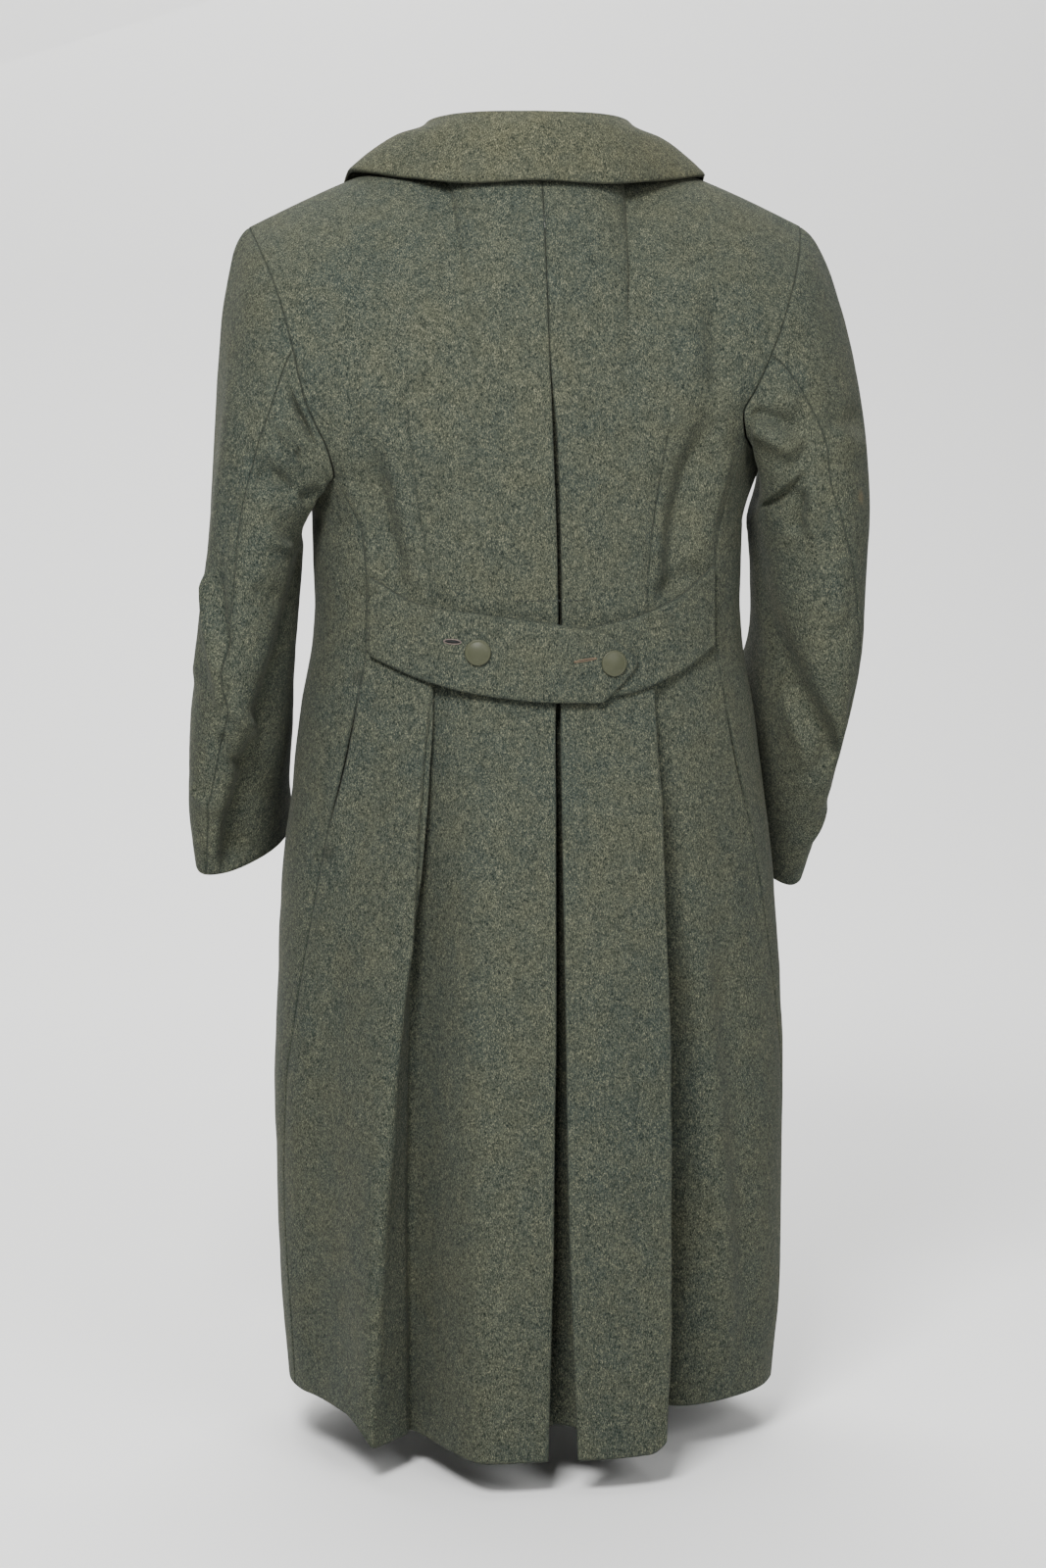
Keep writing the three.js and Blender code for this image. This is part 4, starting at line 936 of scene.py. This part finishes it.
def paintMaterial():
    look = paintLook
    material, tree, shader = newMaterial("dull button paint", look["surface"])
    worn = spread(tree, noise(tree, objectPlace(tree), *look["noise"]), *look["spread"])
    colour = mixColour(tree, times(tree, worn, look["share"]), look["paint"], look["worn"])
    feed(shader.inputs["Base Color"], colour)
    return material


paint = paintMaterial()
print("materials made")


# How many mm from a sewn edge a panel's folds fade, and between which heights the centre fold comes open
panel = dict(fade=16, foldOpens=(-170, -210))
seeds = dict(body=3, sleeve={1: 31, -1: 41}, collar=51, belt=61)


# What stands out on a panel, fading away towards the edges that are sewn to others
def reliefOf(strokes, sewn, centre):
    def relief(grid):
        x, z = grid[..., 0], grid[..., 2]
        height = uneven(x, z, seeds["body"])
        for line, width, rise, fade in strokes:
            height = height + stroke(x, z, line, width, rise, fade)
        down, across = distances(grid, 0), distances(grid, 1)
        far = dict(high=down[-1:] - down, first=across, last=across[:, -1:] - across)
        for edge in sewn:
            height = height * ease(0, panel["fade"], far[edge])
        if centre:
            height = height * np.maximum(ease(0, panel["fade"], across), ease(*panel["foldOpens"], z))
        return height
    return relief


# How far the cloth beside a pleat's edge lies below it: beyond it on the right, before it on the left
pleatDepth = table("z deep", (-425, 0), (-500, 7), (-620, 10), (-760, 12), (hem, 14))
pleatForm = dict(sharp=2.2, reach=17, inside=1)


def pleatStep(side, grid):
    x, z = grid[..., 0], grid[..., 2]
    if side < 0:
        beyond = x - read(pleats[side], "ridge", z)
    else:
        beyond = read(pleats[side], "valley", z) + pleatForm["inside"] - x
    fading = np.exp(-(beyond / pleatForm["reach"]) ** 2)
    return -read(pleatDepth, "deep", z) * ease(0, pleatForm["sharp"], beyond) * fading


def backOfCoat(side, name):
    grid = backGrid(side)
    dart = lambda g: stroke(g[..., 0], g[..., 2], darts[side], **dartForm)
    return clothPiece(
        "back of coat " + name, toSide(side, grid), form["cloth"], side > 0,
        reliefOf(backStrokes[side], ("high", "last"), True),
        dict(low=freeEdge, high=seamEdge, first=foldEdge, last=seamEdge), dart, pleatStep(side, finer(grid)))


def frontOfCoat(side, name):
    return clothPiece(
        "front of coat " + name, toSide(side, frontGrid(side)), form["cloth"], side > 0,
        reliefOf(frontStrokes[side], ("high", "first"), False),
        dict(low=freeEdge, high=seamEdge, first=seamEdge, last=foldEdge))


# How strongly a sleeve's folds stand out, over how many mm they fade at their ends and towards the armhole
# and the front seam, and how far a fold that overhangs leans out on its high and on its low side
sleeveFolds = dict(
    gain={1: 1.8, -1: 1.45}, fade=22, frontFade=24, overhangFade=40.0, lean=(0.5, 2.2), shift=400)


def sleeve(side, name, part):
    along, turn = sleeveTurns(side, part)
    grid = toSide(side, sleevePoint(side, along, turn % 360))
    wide, length = sleeveForm["perDegree"], sleeveForm["length"]
    laid = finer(np.stack([turn * wide, along * length], -1))
    u, v = laid[..., 0], laid[..., 1]
    drawn = lambda line: [(degrees * wide, share * length) for degrees, share in line]
    fade, gain, (high, low) = sleeveFolds["fade"], sleeveFolds["gain"][side], sleeveFolds["lean"]
    lean = 0
    for line, sharp, reach, rise in sleeveOverhangs[side]:
        step = overhang(u, v, drawn(line), sharp, reach, rise, sleeveFolds["overhangFade"])
        lean = lean + np.where(step > 0, high, low) * step

    def relief(grid):
        height = uneven(u + sleeveFolds["shift"], v, seeds["sleeve"][side])
        for line, width, rise in sleeveStrokes[side]:
            height = height + stroke(u, v, drawn(line), width, rise * gain, fade)
        front = np.minimum(*(np.abs(u - end * wide) for end in sleeveForm["front"]))
        return height * ease(0, fade, v) * ease(0, sleeveFolds["frontFade"], front)

    return clothPiece(
        part + " sleeve " + name, grid, form["cloth"], side > 0, relief,
        dict(low=freeEdge, high=seamEdge, first=seamEdge, last=seamEdge), lean=lean * ease(0, fade, v))


pieces = {}
for side, name in ((1, "left"), (-1, "right")):
    pieces["back_" + name] = backOfCoat(side, name)
    pieces["front_" + name] = frontOfCoat(side, name)
    for part in ("top", "under"):
        pieces[part + "_sleeve_" + name] = sleeve(side, name, part)
pieces["back_pleat_underlay"] = clothPiece("cloth behind the back pleat", underlayGrid(), form["cloth"], True)

# The collar's unevenness: its half length and its depth laid flat, where its fall begins, and its small waves
collarWave = dict(
    length=250, depth=160, uneven=0.8, fall=(0.35, 0.8), height=0.9, wave=13.0, drift=1.2, driftWave=41.0)
collarSkin, collarAt, mirrored = collarGrid()


def collarRelief(grid):
    c = collarWave
    way = np.where(mirrored, -1, 1) * collarAt
    s, across = np.linspace(0, 1, grid.shape[0])[:, None], np.linspace(0, 1, grid.shape[1])
    along = np.interp(across, np.linspace(0, 1, len(way)), way)[None, :] * c["length"]
    fall = ease(*c["fall"], s)
    wave = np.sin(along / c["wave"] + c["drift"] * np.sin(along / c["driftWave"]))
    return uneven(along, s * c["depth"], seeds["collar"]) * c["uneven"] * fall + fall * c["height"] * wave


pieces["collar"] = clothPiece("turned down collar", collarSkin, form["cloth"], False, collarRelief,
                              dict(low=seamEdge, high=collarEdge, first=collarEdge, last=collarEdge))

strapUneven = dict(height=0.35, shift=900)


def strapRelief(grid):
    return uneven(grid[..., 0] + strapUneven["shift"], grid[..., 2], seeds["belt"]) * strapUneven["height"]


# One strap of the half belt, with the kinds of its edges at the wearer's left and right end
def strap(side, grid, first, last):
    edges = dict(low=softEdge, high=softEdge, first=first, last=last)
    pieces["half_belt_" + side] = clothPiece(
        "half belt " + side, grid, form["beltCloth"], False, strapRelief, edges)


strap("right", strapGrid(rightStrap, lambda x: x * 0), softEdge, seamEdge)
strap("left", strapGrid(leftStrap, leftRise, strapTip), seamEdge, softEdge)

# Each piece takes its wool, and the solid piece it stands for is hidden
for name, piece in pieces.items():
    piece.data.materials.append(collarWool if name == "collar" else wool)
    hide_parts(name)
print("cloth laid")

# A button: its outline turned round its axis, seated where the solid button is
profile = table("r z",
    (0.01, 4.2), (2.5, 4.1), (5.0, 3.75), (7.2, 3.2), (8.6, 2.75), (9.3, 2.62), (9.9, 2.72), (10.5, 2.6),
    (10.9, 2.15), (11.0, 1.7), (10.7, 1.0), (9.8, 0.3), (8.0, 0.0), (0.01, 0.0))
buttonSides = 56


# Places of a mesh's points in mm, or another measure of them as it stands
def pointsOf(mesh, measure="co", size=1000):
    values = np.empty(len(mesh.vertices) * 3)
    mesh.vertices.foreach_get(measure, values)
    return values.reshape(-1, 3) * size


def buttonPiece(nodeName, name):
    points = pointsOf(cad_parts[nodeName].data)
    middle = points.mean(0)
    axis = np.linalg.svd(points - middle)[2][2]
    axis *= np.sign(axis[1] * middle[1])
    foot = middle + axis * ((points - middle) @ axis).min()
    side = unit(np.cross(axis, [0.0, 0.0, 1.0]))
    other = np.cross(side, axis)
    turn = np.linspace(0, 2 * np.pi, buttonSides, endpoint=False)
    ring = np.cos(turn)[:, None] * side + np.sin(turn)[:, None] * other
    skin = foot + profile["r"][:, None, None] * ring[None] + profile["z"][:, None, None] * axis
    i = np.arange(skin.shape[0] * skin.shape[1]).reshape(skin.shape[:2])
    k = np.roll(i, -1, 1)
    faces = np.stack([i[:-1], i[1:], k[1:], k[:-1]], -1).reshape(-1, 4)
    piece = meshPiece(name, skin.reshape(-1, 3), faces)
    piece.data.materials.append(paint)
    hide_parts(nodeName)


for side in ("left", "right"):
    buttonPiece("belt_button_" + side, "belt button " + side)
    for i in range(1, 7):
        buttonPiece(f"front_button_{side}_{i}", f"front button {side} {i}")
print("buttons set")

# Buttonholes of the belt, a row of stitches above it and two small moth holes in the collar, in mm; a stitch
# is on the left half of the back from `leftFrom` beyond the centre fold
sewing = dict(
    thread=0.55, proud=0.25, around=10, rim=36, gap=9, gapLength=0.86, gapWidth=0.72, taper=0.4,
    taperEnd=0.25, facing=0.1, nearest=4, soften=0.3)
stitchRow = dict(first=-27.0, last=31.0, pitch=4.6, long=3.2, z=-371.5, thread=0.42, sunk=-0.3, leftFrom=2)
mothHoles = dict(places=((60, 38, 1.3), (78, 11, 1.5)), wide=0.55, slant=0.4)
threadLook = dict(noise=(2400.0, 1.0, 0.6), spread=(0.4, 0.6), shade=0.55)


def threadMaterial(name, colour, roughness):
    look = threadLook
    material, tree, shader = newMaterial(name, {"Roughness": roughness})
    twist = spread(tree, noise(tree, objectPlace(tree), *look["noise"]), *look["spread"])
    shaded = tuple(v * look["shade"] for v in colour)
    feed(shader.inputs["Base Color"], mixColour(tree, twist, colour, shaded))
    return material


roseThread = threadMaterial("greyish rose thread", (0.13, 0.10, 0.085), 0.8)
tanThread = threadMaterial("tan thread", (0.11, 0.075, 0.042), 0.8)
greenThread = threadMaterial("dark green thread", (0.018, 0.023, 0.019), 0.85)
# Black for the openings of the buttonholes and the moth holes: shade painted where the cloth is open
openingShadeBlack = threadMaterial("dark gap", (0.004, 0.004, 0.004), 0.95)


# The outermost point of a piece at x and z, and the way it faces, from its nearest points that face the back
def onPiece(piece, x, z):
    points, facing = pointsOf(piece.data), pointsOf(piece.data, "normal", 1)
    far = np.hypot(points[:, 0] - x, points[:, 2] - z)
    near = np.argsort(far + np.where(facing[:, 1] > sewing["facing"], 0, 1e6))[:sewing["nearest"]]
    share = 1 / (far[near] + sewing["soften"])
    place = (points[near] * share[:, None]).sum(0) / share.sum()
    way = unit((facing[near] * share[:, None]).sum(0))
    return np.array([x, place[1], z]), way


def threadPiece(name, line, ways, radius, material, closed=False):
    line, ways = np.array(line), np.array(ways)
    ahead = unit(np.roll(line, -1, 0) - np.roll(line, 1, 0) if closed else np.gradient(line, axis=0))
    beside = unit(np.cross(ahead, ways))
    turn = np.linspace(0, 2 * np.pi, sewing["around"], endpoint=False)
    ring = np.cos(turn)[None, :, None] * beside[:, None] + np.sin(turn)[None, :, None] * ways[:, None]
    taper, end = np.ones(len(line)), sewing["taperEnd"]
    if not closed:
        taper = np.sin(np.linspace(end, np.pi - end, len(line))) ** sewing["taper"]
    skin = line[:, None] + ring * radius * taper[:, None, None]
    i = np.arange(skin.shape[0] * skin.shape[1]).reshape(skin.shape[:2])
    k = np.roll(i, -1, 1)
    rows = (i, np.roll(i, -1, 0), np.roll(k, -1, 0), k) if closed else (i[:-1], i[1:], k[1:], k[:-1])
    skin = skin.reshape(-1, 3)
    faces = np.stack(rows, -1).reshape(-1, 4).tolist()
    if not closed:
        middle = len(skin)
        faces += [(a, b, middle) for a, b in zip(i[0].tolist(), k[0].tolist())]
        faces += [(b, a, middle + 1) for a, b in zip(i[-1].tolist(), k[-1].tolist())]
        skin = np.concatenate([skin, line[:1], line[-1:]])
    mesh = bpy.data.meshes.new(name)
    mesh.from_pydata((skin * 0.001).tolist(), [], faces)
    mesh.shade_smooth()
    mesh.materials.append(material)
    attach(intoScene(name, mesh), "root")


# A thread through the places found on a piece, standing out from each by `proud`
def laidThread(name, found, proud, *thread):
    line = [place + way * out for (place, way), out in zip(found, np.broadcast_to(proud, len(found)))]
    threadPiece(name, line, [way for _, way in found], *thread)


def buttonhole(name, piece, start, end, gape, material):
    start, end = np.array(start, float), np.array(end, float)
    middle, half = (start + end) / 2, np.linalg.norm(end - start) / 2
    along = (end - start) / (2 * half)
    beside = np.array([-along[1], along[0]])
    turns = np.linspace(0, 2 * np.pi, sewing["rim"], endpoint=False)
    found = [onPiece(piece, *(middle + along * half * np.cos(t) + beside * gape * np.sin(t))) for t in turns]
    laidThread(name + "_thread", found, sewing["proud"], sewing["thread"], material, True)
    # The slit: a black tube along the buttonhole's middle, painted shade in its opening
    shares = np.linspace(-1, 1, sewing["gap"])
    found = [onPiece(piece, *(middle + along * half * sewing["gapLength"] * t)) for t in shares]
    laidThread(name + "_gap", found, sewing["proud"], gape * sewing["gapWidth"], openingShadeBlack)


def stitches():
    r = stitchRow
    for number, x in enumerate(np.arange(r["first"], r["last"], r["pitch"])):
        onLeft = x > float(read(centreFold, "x", r["z"])) + r["leftFrom"]
        back = pieces["back_left"] if onLeft else pieces["back_right"]
        found = [onPiece(back, x + part * r["long"], r["z"]) for part in (-0.5, -0.25, 0, 0.25, 0.5)]
        proud = [r["sunk"]] + [sewing["proud"]] * 3 + [r["sunk"]]
        laidThread(f"stitch_{number + 1}", found, proud, r["thread"], greenThread)


# A moth hole: a short black tube laid on the collar, painted shade where the hole opens
def mothHole(number, x, z, radius):
    place, way = onPiece(pieces["collar"], x, z)
    line = [place + (t * radius, 0, t * mothHoles["slant"]) for t in (-1, -0.5, 0, 0.5, 1)]
    threadPiece(f"moth_hole_{number}", line, [way] * 5, radius * mothHoles["wide"], openingShadeBlack)


# Both buttonholes of the belt are in its left strap, which laps over the right one
buttonholes = {
    "buttonhole_left": dict(start=(90, -404.5), end=(76, -405.5), gape=1.9, material=roseThread),
    "buttonhole_right": dict(start=(-19, -422.5), end=(-38, -419.5), gape=0.7, material=tanThread),
}
for name, hole in buttonholes.items():
    buttonhole(name, pieces["half_belt_left"], **hole)
stitches()
for number, hole in enumerate(mothHoles["places"]):
    mothHole(number + 1, *hole)
print("details sewn")

# Studio: a pale floor that turns up into a wall, and soft lights
studio = dict(
    floorHeight=-1.125, floorEnd=8.0, wallAt=-3.6, wallTop=5.0, width=16.0, bend=1.2, bendRows=17, air=0.12,
    surface={"Base Color": (0.86, 0.86, 0.85), "Roughness": 0.9})
lamps = [
    dict(name="key window", power=122, size=(0.8, 0.8), place=(0.75, 1.95, 1.2), aim=(0, 0, -0.25)),
    dict(name="fill window", power=40, size=(1.2, 1.2), place=(-1.1, 2.6, 0.5), aim=(0, 0, -0.45)),
    dict(name="ceiling", power=24, size=(1.6, 1.6), place=(0.0, 0.5, 2.3), aim=(0, 0, -0.4)),
    dict(name="front wash", power=26, size=(2.4, 2.4), place=(0.6, -3.0, 1.4), aim=(0, 0, -0.5)),
    dict(name="wall wash", power=240, size=(4.0, 1.0), place=(0.0, -1.9, 3.4), aim=(0, -3.8, -0.4)),
]


def addLamp(lamp):
    light = bpy.data.lights.new(lamp["name"], "AREA")
    light.energy, light.shape = lamp["power"], "RECTANGLE"
    light.size, light.size_y = lamp["size"]
    holder = intoScene(lamp["name"], light)
    holder.location = lamp["place"]
    holder.rotation_euler = (Vector(lamp["aim"]) - Vector(lamp["place"])).to_track_quat("-Z", "Y").to_euler()
    holder.visible_camera = False


def studioFloor():
    low, back, bend = studio["floorHeight"], studio["wallAt"], studio["bend"]
    line = [(studio["floorEnd"], low)]
    for turn in np.linspace(0, np.pi / 2, studio["bendRows"]):
        line.append((back + bend - bend * math.sin(turn), low + bend - bend * math.cos(turn)))
    line.append((back, studio["wallTop"]))
    half = studio["width"] / 2
    points = [(x, y, z) for y, z in line for x in (half, -half)]
    faces = [(2 * i, 2 * i + 1, 2 * i + 3, 2 * i + 2) for i in range(len(line) - 1)]
    mesh = bpy.data.meshes.new("floor")
    mesh.from_pydata(points, [], faces)
    mesh.shade_smooth()
    mesh.materials.append(newMaterial("pale floor", studio["surface"])[0])
    intoScene("floor", mesh)


def studioAir():
    world = bpy.data.worlds.new("studio air")
    bpy.context.scene.world = world
    world.use_nodes = True
    background = world.node_tree.nodes["Background"]
    background.inputs["Color"].default_value = (1, 1, 1, 1)
    background.inputs["Strength"].default_value = studio["air"]


studioFloor()
studioAir()
for lamp in lamps:
    addLamp(lamp)
print("studio lit")
